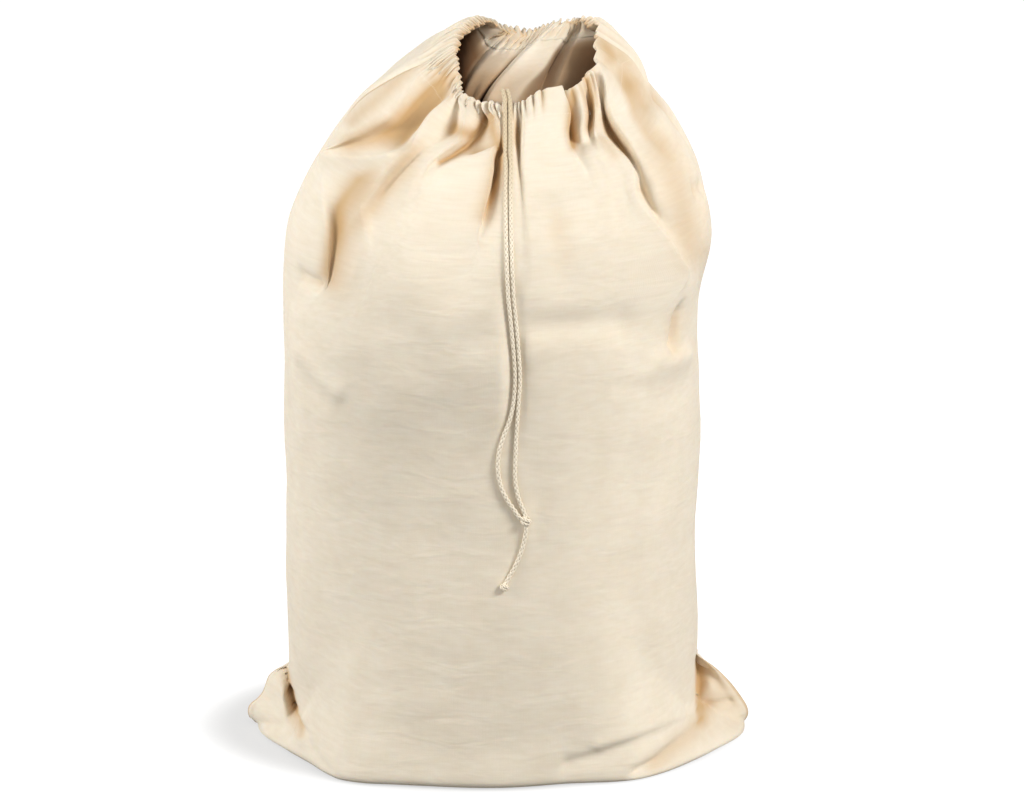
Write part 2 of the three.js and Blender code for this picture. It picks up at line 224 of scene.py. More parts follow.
class Socket:
    """A socket of a node tree. Plain arithmetic on it adds Math nodes."""

    def __init__(self, tree, socket=None):
        self.tree = tree
        self.socket = socket

    def node(self, kind, settings=None, inputs=None, output=0):
        """Adds a node of a kind: first its settings, then values or links for its sockets."""
        made = self.tree.nodes.new(kind)
        for name, value in (settings or {}).items():
            if name == "stops":
                while len(made.color_ramp.elements) < len(value):
                    made.color_ramp.elements.new(1)
                for element, (position, colour) in zip(made.color_ramp.elements, value):
                    element.position = position
                    element.color = colour
            else:
                setattr(made, name, value)
        for name, value in (inputs or {}).items():
            if isinstance(value, Socket):
                self.tree.links.new(value.socket, made.inputs[name])
            else:
                made.inputs[name].default_value = value
        return Socket(self.tree, made.outputs[output] if len(made.outputs) else None)

    def maths(self, operation, first, second=0.0):
        """Adds a Math node of an operation."""
        return self.node("ShaderNodeMath", {"operation": operation}, {0: first, 1: second})

    def __add__(self, other):
        return self.maths("ADD", self, other)

    def __sub__(self, other):
        return self.maths("SUBTRACT", self, other)

    def __rsub__(self, other):
        return self.maths("SUBTRACT", other, self)

    def __mul__(self, other):
        return self.maths("MULTIPLY", self, other)

    def __truediv__(self, other):
        return self.maths("DIVIDE", self, other)

    def __rtruediv__(self, other):
        return self.maths("DIVIDE", other, self)

    __radd__ = __add__
    __rmul__ = __mul__


def fabric(name, roughness, sheen):
    """A matt cloth material, with its node tree ready for a colour and a bump."""
    material = bpy.data.materials.new(name)
    material.use_nodes = True
    shader = material.node_tree.nodes["Principled BSDF"]
    shader.inputs["Roughness"].default_value = roughness
    shader.inputs["Specular IOR Level"].default_value = 0.2
    shader.inputs["Sheen Weight"].default_value = sheen
    shader.inputs["Sheen Roughness"].default_value = 0.6
    return material, shader, Socket(material.node_tree)


def blended(tree, share, first, second):
    """A colour from the first to the second, by a share of 0 to 1."""
    inputs = {"Factor": share, "A": first, "B": second}
    return tree.node("ShaderNodeMix", {"data_type": "RGBA"}, inputs, output=2)


def risen(tree, value, none, full, most, least=0.0, form="SMOOTHSTEP"):
    """A rise from a least to a most while a value goes from none to full, in an S curve or straight."""
    inputs = {"Value": value, "From Min": none, "From Max": full, "To Min": least, "To Max": most}
    return tree.node("ShaderNodeMapRange", {"interpolation_type": form}, inputs)


def clouds(tree, place, scale, detail, distortion=0.0):
    """Uneven tone, 0 to 1. A scale of three numbers stretches it along the axes of its place."""
    if isinstance(scale, tuple):
        place = tree.node("ShaderNodeMapping", inputs={"Vector": place, "Scale": scale})
        scale = 1.0
    inputs = {"Vector": place, "Scale": scale, "Detail": detail, "Distortion": distortion}
    return tree.node("ShaderNodeTexNoise", inputs=inputs, output="Fac")


COTTON_PALE = (0.9, 0.82, 0.675, 1)
COTTON_STAINED = (0.74, 0.64, 0.48, 1)
# painted shade in the gaps between the braid's yarns
COTTON_GAP_SHADE = (0.47, 0.37, 0.235, 1)
COTTON_TOP_SHADE = (0.58, 0.46, 0.28, 1)  # painted shade at the top of the cord
TOP_SHADE = (0.5, 0.59, 0.8)  # from and to which height the cord's top is painted with shade, and how much
GAP_SHADE = (0.58, 0.34, 0.8)  # from and to which relief shade is painted into the braid's gaps, and how much
FLUFF_SCALE = 1400.0
FLUFF_HEIGHT = 0.0003
STAIN_SCALE = 60.0

cotton, cotton_shader, tree = fabric("braided_cotton", 0.9, 0.15)
relief = tree.node("ShaderNodeAttribute", {"attribute_name": "relief"}, output="Fac")
place = tree.node("ShaderNodeTexCoord", output="Object")
fluff = clouds(tree, place, FLUFF_SCALE, 3.0)
stain = clouds(tree, place, STAIN_SCALE, 2.0)
yarn_colour = blended(tree, stain * 0.5, COTTON_PALE, COTTON_STAINED)
height_up = tree.node("ShaderNodeSeparateXYZ", inputs={0: place}, output="Z")
# Painted shade: the cord is painted darker and warmer towards its top.
top_shade = risen(tree, height_up, *TOP_SHADE)
yarn_colour = blended(tree, top_shade, yarn_colour, COTTON_TOP_SHADE)
# Painted shade: the braid's gaps are painted dark by their relief.
gap_shade = risen(tree, relief, *GAP_SHADE)
cord_colour = blended(tree, gap_shade, yarn_colour, COTTON_GAP_SHADE)
cotton.node_tree.links.new(cord_colour.socket, cotton_shader.inputs["Base Color"])
cord_bump = tree.node("ShaderNodeBump", inputs={"Strength": 0.5, "Distance": FLUFF_HEIGHT, "Height": fluff})
cotton.node_tree.links.new(cord_bump.socket, cotton_shader.inputs["Normal"])


def cord_piece(name, points, radius):
    """A braided length of cord or knot on its path, in cotton."""
    rings, height = braided_tube(points, radius)
    piece = grid_object(name, rings, closed=True, marks={"relief": height})
    piece.data.materials.append(cotton)
    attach(piece, "root")
    return piece


def knot_path(centre, axis, radius, length, turns, start):
    """A cord that winds round its own line: out from the line, round it in an even helix, and back in."""
    t = np.linspace(0, 1, 260)
    along = np.array(axis, float) / np.linalg.norm(axis)
    aside = np.cross(along, [0.0, 1.0, 0.0])
    aside /= np.linalg.norm(aside)
    depth = np.cross(aside, along)
    reach = radius * np.clip(np.sin(np.pi * t), 0, 1) ** 0.45
    turn = start + 2 * np.pi * turns * t
    flat = aside * np.cos(turn)[:, None] + 0.8 * depth * np.sin(turn)[:, None]
    return np.array(centre, float) + flat * reach[:, None] + along * ((t - 0.5) * length)[:, None]


left_path = route_points(LEFT_STRAND + [KNOT], RING_STEP)
right_path = route_points(RIGHT_STRAND + [KNOT] + TAIL + [END_KNOT], RING_STEP)
left_cord = cord_piece("drawcord_left", left_path, CORD_RADIUS)
right_cord = cord_piece("drawcord_right", right_path, CORD_RADIUS)
knot = knot_path(KNOT, axis=(-0.25, 0, -1), radius=3.5, length=7.5, turns=2.1, start=0.6)
joining_knot = cord_piece("joining_knot", knot, 1.9)
knot = knot_path(END_KNOT, axis=(-0.45, 0, -1), radius=2.7, length=5.4, turns=1.8, start=2.0)
tail_knot = cord_piece("tail_knot", knot, 1.75)
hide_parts("cord_left")
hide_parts("cord_right", "cord_tail")
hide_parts("cord_knot")
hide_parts("end_knot")


# The bag is two panels of natural cotton canvas, sewn together down both sides and along the bottom, turned
# right side out, filled and stood on its bottom. Each panel's top edge is turned down as a hem, which the
# drawcord gathers into a mouth about 140 mm wide.
PANEL_WIDTH = 610.0
CANVAS_THICKNESS = 0.9
SEAM_GAP = 0.05
HEM_HEIGHT = 24.0
HEM_RADIUS = 1.3

# Sections of the plain shape, from the floor to the mouth: height, middle in X and Y, half width, half depth,
# and rise towards the back. A station is a length up the cloth from the floor.
SECTIONS = np.array(
    [
        [0, -4.5, 0, 195.5, 195, 0],
        [90, -4.5, 0, 195.5, 195, 0],
        [250, -4.5, 0, 195.5, 195, 0],
        [410, -4, 0, 196, 195, 0],
        [470, 1.5, 0, 199.5, 194, 0.03],
        [510, 5.5, 0, 193, 187, 0.08],
        [547, 9, 0, 179, 172, 0.15],
        [580, 13, -1, 159, 151, 0.22],
        [605, 18, -3, 138, 128, 0.3],
        [622, 24, -4, 116, 106, 0.37],
        [634, 29, -4, 94, 87, 0.42],
        [642, 32.5, -4, 71, 69, 0.45],
    ]
)
SECTION_STATIONS = np.concatenate(
    [[0], np.cumsum(np.hypot(np.diff(SECTIONS[:, 0]), np.diff(SECTIONS[:, 3:5].mean(axis=1))))]
)
RIM = SECTION_STATIONS[-1]
SHOULDER = (420, 520)  # stations over which the folds begin to lean up with the cloth


def smooth(value, none, full):
    """An S curve from 0 to 1 between two values: 3 t^2 - 2 t^3."""
    t = np.clip((value - none) / (full - none), 0, 1)
    return t * t * (3 - 2 * t)


def plain_wall(angle, stations, out=0.0):
    """The wall without its folds: an ellipse at each station, whose plane rises towards the back."""
    section = np.stack([through(SECTION_STATIONS, column, stations) for column in SECTIONS.T], axis=1)
    turn = np.radians(angle)
    x = section[:, 1:2] + (section[:, 3:4] + out) * np.cos(turn)
    y = section[:, 2:3] + (section[:, 4:5] + out) * np.sin(turn)
    return np.stack([x, y, section[:, 0:1] + section[:, 5:6] * y], axis=-1)


def plain_point(angle, station):
    """One point of the plain wall."""
    return plain_wall(np.array([[angle]]), np.array([station]))[0, 0]


def away_from(angle, stations):
    """The directions in which folds stand out from the plain wall: level up the body, and leaning upwards
    with the slope of the shoulder."""
    fall = through(SECTION_STATIONS, SECTIONS[:, 3:5].mean(axis=1), stations)
    lean = -np.gradient(fall, stations)[:, None] * smooth(stations, *SHOULDER)[:, None]
    turn = np.radians(angle)
    away = np.stack(np.broadcast_arrays(np.cos(turn), np.sin(turn), lean), axis=-1)
    return away / np.linalg.norm(away, axis=-1, keepdims=True)


EYE = np.array(camera.location) / MM
SIGHT = -np.array(backwards)
SIGHT_UP = np.array([0, math.sin(CAMERA_ELEVATION), math.cos(CAMERA_ELEVATION)])


def in_picture(points):
    """Where points show in the picture, across and down, and how far they are from the camera."""
    from_eye = points - EYE
    far = from_eye @ SIGHT
    across = IMAGE_WIDTH / 2 + FOCAL_PIXELS * from_eye[..., 0] / far
    down = IMAGE_HEIGHT / 2 - FOCAL_PIXELS * (from_eye @ SIGHT_UP) / far
    return across, down, far


def on_plane(across, down, y):
    """The point that shows at a place in the picture and lies in the upright plane of a given Y."""
    heading = SIGHT + SIGHT_UP * (IMAGE_HEIGHT / 2 - down) / FOCAL_PIXELS
    heading[0] += (across - IMAGE_WIDTH / 2) / FOCAL_PIXELS
    return EYE + heading * (y - EYE[1]) / heading[1]


# Folds of the gathered neck, crests and troughs. Each has the angle at which its thread leaves the filled
# body and how sharp it is. 180 degrees is the left seam, 270 the front, 360 the right seam and 450 the back.
# Places in the picture are pixels from its top left corner, across and down, where the fold shows.
# Of the front: the fold's place in the picture at the rim and its angle there, and then, from the body up,
# its places in the picture and its heights above the plain shape.
FRONT_FOLDS = [
    ("brow_crest", 194, 0.5, (452, 48, 178), [
        (303, 190, 1), (312, 165, 2), (329, 147, 4), (349, 133, 5), (384, 114, 6), (398, 99, 6),
        (430, 66, 4),
    ]),
    ("brow_hollow", 206, 0.7, (455, 62, 186), [
        (323, 285, 0), (323, 262, 1), (324, 235, 2), (323, 210, 2), (321, 187, 1), (322, 168, 1),
        (340, 151, -4), (370, 141, -7), (399, 125, -10), (419, 107, -13), (434, 90, -13),
    ]),
    ("left_dent", 213, 0.1, (456, 74, 195), [
        (329, 290, 0), (331, 270, -5), (335, 250, -7), (339, 226, -8), (339, 203, -7), (347, 180, -8),
        (366, 166, -7), (380, 155, -4), (400, 140, -12), (420, 123, -16), (436, 105, -16), (449, 89, -9),
    ]),
    ("sweep_crest", 220, 0.9, (457, 84, 204), [
        (348, 292, 0), (355, 270, 0), (363, 247, 0), (362, 224, 0), (358, 203, 1), (373, 183, 3),
        (394, 161, 5), (408, 150, 5), (417, 133, 5), (428, 114, 5), (452, 94, 2),
    ]),
    ("under_sweep", 226, 0.6, (459, 92, 211), [
        (362, 300, 0), (368, 276, 0), (374, 254, 0), (374, 231, -2), (374, 212, -5), (388, 190, -8),
        (406, 168, -6), (420, 152, -3), (440, 140, -6), (456, 130, -12), (457, 118, -11), (459, 104, -6),
    ]),
    ("hem_crest", 234, 0.5, (467, 96, 220), [
        (372, 290, 0), (388, 250, 0), (402, 210, 0), (415, 180, 1), (430, 160, 2), (446, 146, 3),
        (460, 136, 5), (464, 122, 6), (465, 108, 5),
    ]),
    ("hem_crease", 245, 0.9, (479, 102, 232), [
        (410, 270, 0), (420, 220, 0), (430, 185, -1), (440, 163, -5), (453, 156, -9), (468, 146, -13),
        (480, 134, -15), (489, 122, -13),
    ]),
    ("ledge_crest", 255, 0.5, (490, 101, 241), [
        (460, 280, 0), (470, 240, 0), (480, 210, 2), (488, 185, 2), (491, 165, 2), (491, 152, 1),
        (494, 140, -1), (499, 128, 4), (497, 115, 4),
    ]),
    ("cord_valley", 262, 0.7, (497, 103, 246), [
        (482, 260, 0), (484, 235, -2), (487, 210, -7), (491, 190, -13), (496, 170, -18), (499, 155, -18),
        (501, 145, -14), (503, 130, -9), (502, 115, -6),
    ]),
    ("cord_seat", 268, 0.2, (508, 100, 253), [
        (511, 270, 0), (511, 220, -1), (511, 180, -1), (510, 160, -1), (509, 140, -1), (508, 120, -1),
    ]),
    ("cord_pocket", 273, 0.5, (515, 103, 258), [
        (523, 250, -1), (521, 205, -3), (520, 175, -6), (519, 155, -11), (518, 140, -15), (517, 125, -15),
    ]),
    ("flap_left", 278, 0.8, (523, 100, 264), [
        (532, 270, 0), (530, 220, 0), (527, 180, 1), (524, 150, 3), (524, 130, 4), (524, 112, 4),
    ]),
    ("flap_middle", 285, 0.0, (544, 88, 279), [
        (560, 270, -2), (556, 225, -3), (552, 185, 1), (548, 150, 5), (547, 125, 7),
    ]),
    ("flap_right", 292, 0.9, (562, 85, 292), [
        (590, 250, 0), (590, 210, 1), (585, 180, 3), (578, 158, 5), (569, 146, 7), (566, 135, 8),
        (568, 125, 9), (572, 110, 9),
    ]),
    ("flap_gap", 296, 0.6, (567, 90, 297), [
        (602, 260, 0), (602, 220, 1), (597, 190, 3), (588, 168, 1), (577, 154, -4), (570, 142, -11),
        (569, 130, -16),
    ]),
    ("inner_finger", 300, 0.1, (577, 84, 304), [
        (612, 260, 0), (610, 215, 1), (606, 185, 4), (598, 164, 2), (587, 149, -3), (582, 134, -3),
        (583, 120, 2), (584, 108, 4),
    ]),
    ("finger_gap", 303, 0.7, (583, 79, 310), [
        (620, 250, 0), (618, 205, 1), (612, 178, 4), (603, 158, 3), (590, 143, -5), (588, 128, -11),
        (590, 110, -13),
    ]),
    ("inner_knuckle", 307, 0.1, (588, 73, 317), [
        (630, 240, 0), (626, 200, 2), (621, 172, 4), (612, 155, 4), (598, 143, 0), (594, 130, -2),
        (595, 112, 1),
    ]),
    ("belly_edge", 315, 0.9, (592, 68, 324), [
        (688, 276, 0), (680, 262, 1), (668, 240, 3), (655, 222, 4), (640, 204, 5), (635, 190, 6),
        (635, 172, 6), (628, 157, 6), (613, 147, 4), (602, 134, -3), (601, 118, -4), (599, 98, -3),
    ]),
    ("right_pocket", 321, 0.2, (596, 65, 330), [
        (690, 279, 0), (684, 262, -2), (674, 242, -4), (660, 222, -5), (648, 204, -7), (641, 189, -10),
        (638, 173, -2), (628, 156, -11), (616, 143, -16), (609, 130, -17), (604, 112, -11),
    ]),
    ("outer_crest", 329, 0.6, (598, 60, 338), [
        (694, 285, 0), (693, 270, -2), (686, 248, -5), (677, 225, -5), (663, 203, 3), (654, 180, 5),
        (643, 157, 6), (629, 136, 6), (616, 117, 6), (609, 98, 6),
    ]),
    ("right_valley", 338, 0.1, (597, 55, 352), [
        (699, 285, 0), (700, 265, -2), (700, 240, -3), (698, 212, -3), (694, 188, -3), (682, 170, -5),
        (664, 152, -7), (648, 132, -9), (635, 110, -10), (624, 85, -11),
    ]),
    ("right_crest", 348, 0.3, (596, 45, 360), [
        (708, 235, 0), (706, 196, 0), (697, 168, -1), (680, 147, -3), (658, 112, -6), (640, 82, -8),
    ]),
]
# Of the back, as the mouth shows it: the fold's angle at the rim and its shift there in X and Z, the station
# at which it begins, and then its stations, places in the picture and Y.
MOUTH_FOLDS = [
    ("far_fold", 388, 0.4, (402, -1, 17), 525, [
        (598, 550, 110, -26), (618, 557, 90, -6), (640, 563, 70, 14), (664, 573, 48, 34),
        (684, 584, 30, 50),
    ]),
    ("far_gap", 396, 0.5, (409, 0, 11), 546, [
        (598, 531, 110, -5), (618, 540, 92, 14), (640, 546, 76, 28), (664, 557, 56, 42),
        (684, 572, 34, 54),
    ]),
    ("bright_edge", 403, 0.6, (414, 0, 9), 520, [
        (598, 510, 106, -40), (618, 524, 86, -18), (640, 543, 68, 2), (664, 554, 49, 22),
        (684, 568, 32, 44),
    ]),
    ("bright_fold", 413, 0.0, (424, 0, 4), 506, [
        (598, 489, 106, -50), (618, 500, 86, -32), (640, 516, 67, -9), (664, 532, 50, 12),
        (684, 550, 34, 36),
    ]),
    ("bright_left", 423, 0.3, (436, 0, -2), 518, [
        (598, 482, 109, -36), (618, 492, 90, -18), (640, 508, 70, 4), (664, 523, 54, 24),
        (684, 539, 38, 46),
    ]),
    ("fold_gap", 431, 0.4, (443, 0, -7), 544, [
        (598, 477, 112, -14), (618, 487, 94, 2), (640, 504, 74, 12), (664, 518, 57, 27),
        (684, 531, 42, 48),
    ]),
    ("tan_edge", 440, 0.5, (451, 0, -9), 520, [
        (598, 471, 112, -38), (618, 480, 94, -22), (640, 494, 76, -2), (664, 508, 58, 22),
        (684, 521, 44, 46),
    ]),
    ("tan_fold", 452, 0.0, (462, 0, -5), 508, [
        (598, 463, 112, -32), (618, 468, 94, -18), (640, 476, 78, -2), (664, 490, 59, 22),
        (684, 505, 42, 46),
    ]),
    ("tan_left", 464, 0.4, (472, 0, -1), 540, [
        (598, 460, 110, -14), (618, 463, 90, 0), (640, 467, 75, 14), (664, 479, 58, 34),
        (684, 498, 39, 54),
    ]),
]
# At the seams and beside the mouth: the fold's angle at the rim and its shift there in X and Z, and then
# its stations, angles and heights.
SEAM_FOLDS = [
    ("left_seam", 180, 0.0, (173, -3, 11), [
        (540, 180, 0), (590, 181, 1), (625, 181, 6), (655, 181, 8), (678, 178, 6),
    ]),
    ("right_seam", 360, 0.0, (368, -9, 21), [
        (480, 360, 0), (537, 359, -3), (570, 360, -3), (600, 362, -7), (626, 366, -8), (650, 369, -3),
        (675, 371, 5),
    ]),
    ("right_corner", 370, 0.3, (383, -3, 23), [
        (540, 371, 0), (600, 374, -4), (630, 376, -7), (650, 379, 2), (674, 382, 10),
    ]),
    ("right_recess", 380, 0.3, (394, 0, 20), [
        (540, 381, 0), (600, 384, -4), (630, 387, -4), (650, 389, 2), (674, 392, 9),
    ]),
    ("left_recess", 476, 0.4, (482, 0, 7), [
        (540, 480, 0), (600, 481, -2), (650, 482, 2),
    ]),
    ("left_corner", 490, 0.3, (494, 0, 15), [
        (540, 491, 0), (600, 492, 2), (650, 493, 8), (678, 494, 9),
    ]),
    ("left_back_fold", 508, 0.3, (508, 0, 18), [
        (540, 508, -2), (600, 508, -1), (636, 508, 2), (652, 508, 4), (676, 507, 9),
    ]),
    ("left_back_crest", 524, 0.3, (521, 0, 20), [
        (540, 524, 0), (600, 524, 0), (650, 523, 3), (676, 522, 8),
    ]),
]
FOLD_FOOT = 420  # station below which the threads run straight
FOLD_STEP = 2.0
FOLD_EVENING = 13  # steps of the running mean that evens the folds out
MOUTH_TURNED = 560  # station at which a thread of the back has turned half way to its angle at the rim
MOUTH_BEGUN = 0.4  # share of that turn where its fold begins
MOUTH_START = [(-24, 0.0), (10, 0.12)]  # a soft start: way past the beginning, and share of the first shift
SEARCH_ANGLES = np.arange(150, 391, 0.5)
SEARCH_STATIONS = np.linspace(380, RIM, 500)
SEARCH_CLOSE = 2.5  # square of the pixels by which a place may be off


@functools.lru_cache(maxsize=None)
def raised_picture(height):
    """Where the cloth of the front would show if all of it stood at one height above the plain shape."""
    angle = np.broadcast_to(SEARCH_ANGLES, (len(SEARCH_STATIONS), len(SEARCH_ANGLES)))
    return in_picture(plain_wall(angle, SEARCH_STATIONS) + height * away_from(angle, SEARCH_STATIONS))


def seen_place(across, down, height):
    """Station and angle of the cloth that shows at a place in the picture: of all that shows close to it at
    this height, what is nearest to the camera."""
    seen_across, seen_down, far = raised_picture(height)
    off = (seen_across - across) ** 2 + (seen_down - down) ** 2
    close = off < max(SEARCH_CLOSE, off.min() * 1.5 + 0.5)
    row, column = np.unravel_index(np.argmin(np.where(close, far, np.inf)), far.shape)
    return SEARCH_STATIONS[row], SEARCH_ANGLES[column]


def front_fold(thread, sharpness, rim, places):
    """Its places as station, angle, height and shift, with the rim shifted to where the picture shows it."""
    line = [(*seen_place(*place), place[2], 0, 0, 0) for place in places]
    across, down, angle = rim
    plain = plain_point(angle, RIM)
    return thread, sharpness, line + [(RIM, angle, 0, *(on_plane(across, down, plain[1]) - plain))]


def mouth_fold(thread, sharpness, rim, start, places):
    """Its places as station, angle, height and shift, with a soft start. The thread turns towards its angle
    at the rim, evenly along the cloth."""
    rim_angle, rim_x, rim_z = rim
    line = []
    for station, across, down, y in places:
        angle = thread + (rim_angle - thread) * (0.5 + 0.5 * (station - MOUTH_TURNED) / (RIM - MOUTH_TURNED))
        line.append((station, angle, 0, *(on_plane(across, down, y) - plain_point(angle, station))))
    begun = thread + MOUTH_BEGUN * (rim_angle - thread)
    first_shift = np.array(line[0][3:])
    soft_start = [(start + past, begun, 0, *(share * first_shift)) for past, share in MOUTH_START]
    return thread, sharpness, soft_start + line + [(RIM, rim_angle, 0, rim_x, 0, rim_z)]


def seam_fold(thread, sharpness, rim, places):
    """Its places as station, angle, height and shift, of which only the rim has a shift."""
    rim_angle, rim_x, rim_z = rim
    line = [(*place, 0, 0, 0) for place in places]
    return thread, sharpness, line + [(RIM, rim_angle, 0, rim_x, 0, rim_z)]


FOLD_LINES = [front_fold(*row[1:]) for row in FRONT_FOLDS]
FOLD_LINES += [mouth_fold(*row[1:]) for row in MOUTH_FOLDS]
FOLD_LINES += [seam_fold(*row[1:]) for row in SEAM_FOLDS]
FOLD_LINES.sort(key=lambda line: line[0])


def fold_lines(stations):
    """Angle, height and shift of each fold line at each station: straight between its places, then evened out
    along the cloth by a running mean."""
    fine = np.arange(FOLD_FOOT - 60, RIM + 40, FOLD_STEP)
    kernel = np.hanning(FOLD_EVENING)[1:-1]
    kernel /= kernel.sum()
    lines = []
    for thread, _, places in FOLD_LINES:
        foot = [(FOLD_FOOT - below, thread, 0, 0, 0, 0) for below in (30, 0)]
        table = np.array(foot + places, float)
        evened = []
        for values in table[:, 1:].T:
            padded = np.pad(np.interp(fine, table[:, 0], values), len(kernel) // 2, mode="edge")
            evened.append(np.interp(stations, fine, np.convolve(padded, kernel, mode="valid")))
        lines.append(evened)
    first = np.array(lines[0])
    first[0] += 360
    return np.array(lines + [first])


def neck_folds(thread, stations):
    """Angle, height and shift of the cloth at each thread and station. The angle is a smooth curve through
    the fold lines. The height and the shift run from line to line in a cubic, whose ends are flat at a round
    line and straight at a sharp one."""
    threads = np.array([line[0] for line in FOLD_LINES] + [FOLD_LINES[0][0] + 360], float)
    sharp = np.array([line[1] for line in FOLD_LINES] + [FOLD_LINES[0][1]])
    lines = fold_lines(stations)
    angle = through(threads, lines[:, 0], thread).T
    i = np.clip(np.searchsorted(threads, thread, side="right") - 1, 0, len(threads) - 2)
    t = (thread - threads[i]) / (threads[i + 1] - threads[i])
    blend = t * t * (3 - 2 * t) + sharp[i] * t * (1 - t) ** 2 - sharp[i + 1] * t * t * (1 - t)
    moved = lines[i, 1:] + (lines[i + 1, 1:] - lines[i, 1:]) * blend[:, None, None]
    return angle, moved[:, 0].T, np.moveaxis(moved[:, 1:], (0, 1, 2), (1, 2, 0))


# Gathers of the hem: the threads at which the gaps between its small loops lie, along the front, and the
# least and most degrees between them on the left and behind. Then their depth as a share of the spare cloth,
# how much the rim dips in a gap, and how far below the rim they start to fade and are gone.
FRONT_GAPS = [
    227.5, 234, 240, 245.5, 252.3, 258.5, 263.6, 267, 270.9, 274, 276.3, 278.8, 281.3, 284, 294.4, 298.4, 301,
    305.4, 311, 318, 336, 352,
]
LEFT_GAP_STEPS = (2.2, 5.4)
BACK_GAP_STEPS = (2.6, 7.0)
LEFT_GAP_END = 225.5
BACK_GAP_END = 537.5
LOOP_SHAPES = ([180, 222, 232, 300, 316, 540], [2.0, 1.8, 0.8, 0.8, 1.8, 2.0])  # 2 is a plain wave
GATHER_SEED = 7
GATHER_DEPTH = 0.46
GATHER_REST = 0.3  # share of its depth by which a loop stands outside the plain rim
GATHER_DIP = 0.7
GATHER_DIP_DEPTH = 9
GATHER_DIP_FADE = (2, 16)
GATHER_FADE = (7, 30)
# How large the gathers are along the rim, by thread. The two wide folds right of the cord have hardly any.
GATHER_SIZES = (
    [180, 226, 232, 267, 272, 283, 287, 291, 296, 312, 322, 352, 366, 374, 385, 455, 470, 500, 540],
    [0.8, 0.7, 1.6, 1.6, 2.6, 2.4, 0.2, 0.12, 0.9, 0.8, 0.12, 0.15, 0.4, 1.2, 1.0, 1.2, 2.0, 1.8, 1.0],
)
GATHER_UNEVEN = ((4, 23), 0.35, 8)  # waves round the bag, size and seed
FILLED_RADIUS = PANEL_WIDTH / np.pi


def uneven(angle, waves, size, seed):
    """A smooth uneven value round the bag, about -size to size: a few sines of whole numbers of waves."""
    random = np.random.default_rng(seed)
    turn = np.radians(angle)
    counts = np.arange(waves[0], waves[1] + 1)
    phases = random.uniform(0, 2 * np.pi, len(counts))
    sizes = random.normal(0, 1, len(counts))
    total = sum(a * np.sin(n * turn + p) for n, p, a in zip(counts, phases, sizes))
    return size * total / np.sqrt(np.sum(sizes**2) / 2) / 1.6


def gap_threads():
    """The gaps between the loops of the hem, all round: those of the front as listed, and the others each a
    random step further on."""
    random = np.random.default_rng(GATHER_SEED)
    left = 180 + np.cumsum(random.uniform(*LEFT_GAP_STEPS, 40))
    back = 360 + np.cumsum(random.uniform(*BACK_GAP_STEPS, 80))
    left = left[left < LEFT_GAP_END]
    back = back[back < BACK_GAP_END]
    return np.concatenate([[180.0], left, FRONT_GAPS, [360.0], back, [540.0]])


def gathers(thread, angle, station, radius):
    """How far the loops of the hem draw the cloth in and let it down: round backs and narrow gaps, as deep as
    the spare cloth between two gaps makes them, and gone a little way below the rim."""
    gaps = gap_threads()
    place = np.interp(thread, gaps, np.arange(len(gaps)))
    loop = 1 - np.abs(np.sin(np.pi * place)) ** np.interp(thread, *LOOP_SHAPES)
    pitch = np.interp(thread, (gaps[1:] + gaps[:-1]) / 2, np.diff(gaps)) * PANEL_WIDTH / 180
    spread = np.radians(np.gradient(angle, axis=1) / np.gradient(thread)) * radius / np.radians(1)
    spare = np.clip(pitch**2 - (np.clip(spread / FILLED_RADIUS, 0, 1) * pitch) ** 2, 0, None)
    size = np.interp(thread, *GATHER_SIZES) * np.clip(1 + uneven(thread, *GATHER_UNEVEN), 0.4, 2)
    below = RIM - station
    fade = 1 - smooth(below, *GATHER_FADE)
    inwards = GATHER_DEPTH * np.sqrt(spare) * size * (loop - GATHER_REST) * fade
    down = GATHER_DIP * np.clip(inwards, 0, GATHER_DIP_DEPTH) * (1 - smooth(below, *GATHER_DIP_FADE))
    # The third value is where the gaps between the loops get painted shade.
    return inwards, down, loop**2 * np.clip(size, 0, 1) * fade


# Creases all round: a line of places on the cloth (angle, station), how far it stands out, its width on the
# left of the line's direction and on the right, and how sharp it is.
CREASES = [
    ("left_shelf", [(194, 569), (212, 586), (224, 602)], 8, 8, 10, 1.5),
    ("left_nick", [(206, 455), (216, 452)], -7, 6, 5, 1.8),
    ("cord_ledge", [(261, 652), (250, 637)], -7, 6, 6, 1.5),
    ("seam_dimple", [(344, 537), (352, 530)], -5, 8, 8, 2.0),
    ("soft_valley", [(286, 560), (288, 469)], -3, 16, 16, 2.0),
    ("right_dip", [(350, 640), (372, 620)], -3, 14, 14, 1.8),
    ("right_nick", [(329, 420), (328, 396)], -14, 8, 6, 1.8),
    ("right_nick_lip", [(321, 386), (328, 381), (337, 381)], 5, 4, 16, 1.8),
    ("back_slump", [(420, 444), (446, 432), (478, 436)], -5, 9, 8, 1.6),
    ("back_swell", [(404, 402), (440, 412), (486, 408)], 3, 14, 24, 1.8),
    ("back_nick", [(502, 412), (507, 380)], -6, 8, 8, 1.8),
    ("back_fold", [(388, 356), (399, 322)], 3, 7, 7, 1.8),
    ("back_wrinkle", [(462, 262), (486, 280)], 1.5, 8, 8, 1.8),
    ("back_left_slit", [(530, 58), (522, 34), (508, 16)], -9, 8, 8, 1.8),
    ("back_right_slit", [(370, 60), (377, 34), (390, 16)], -9, 8, 8, 1.8),
]
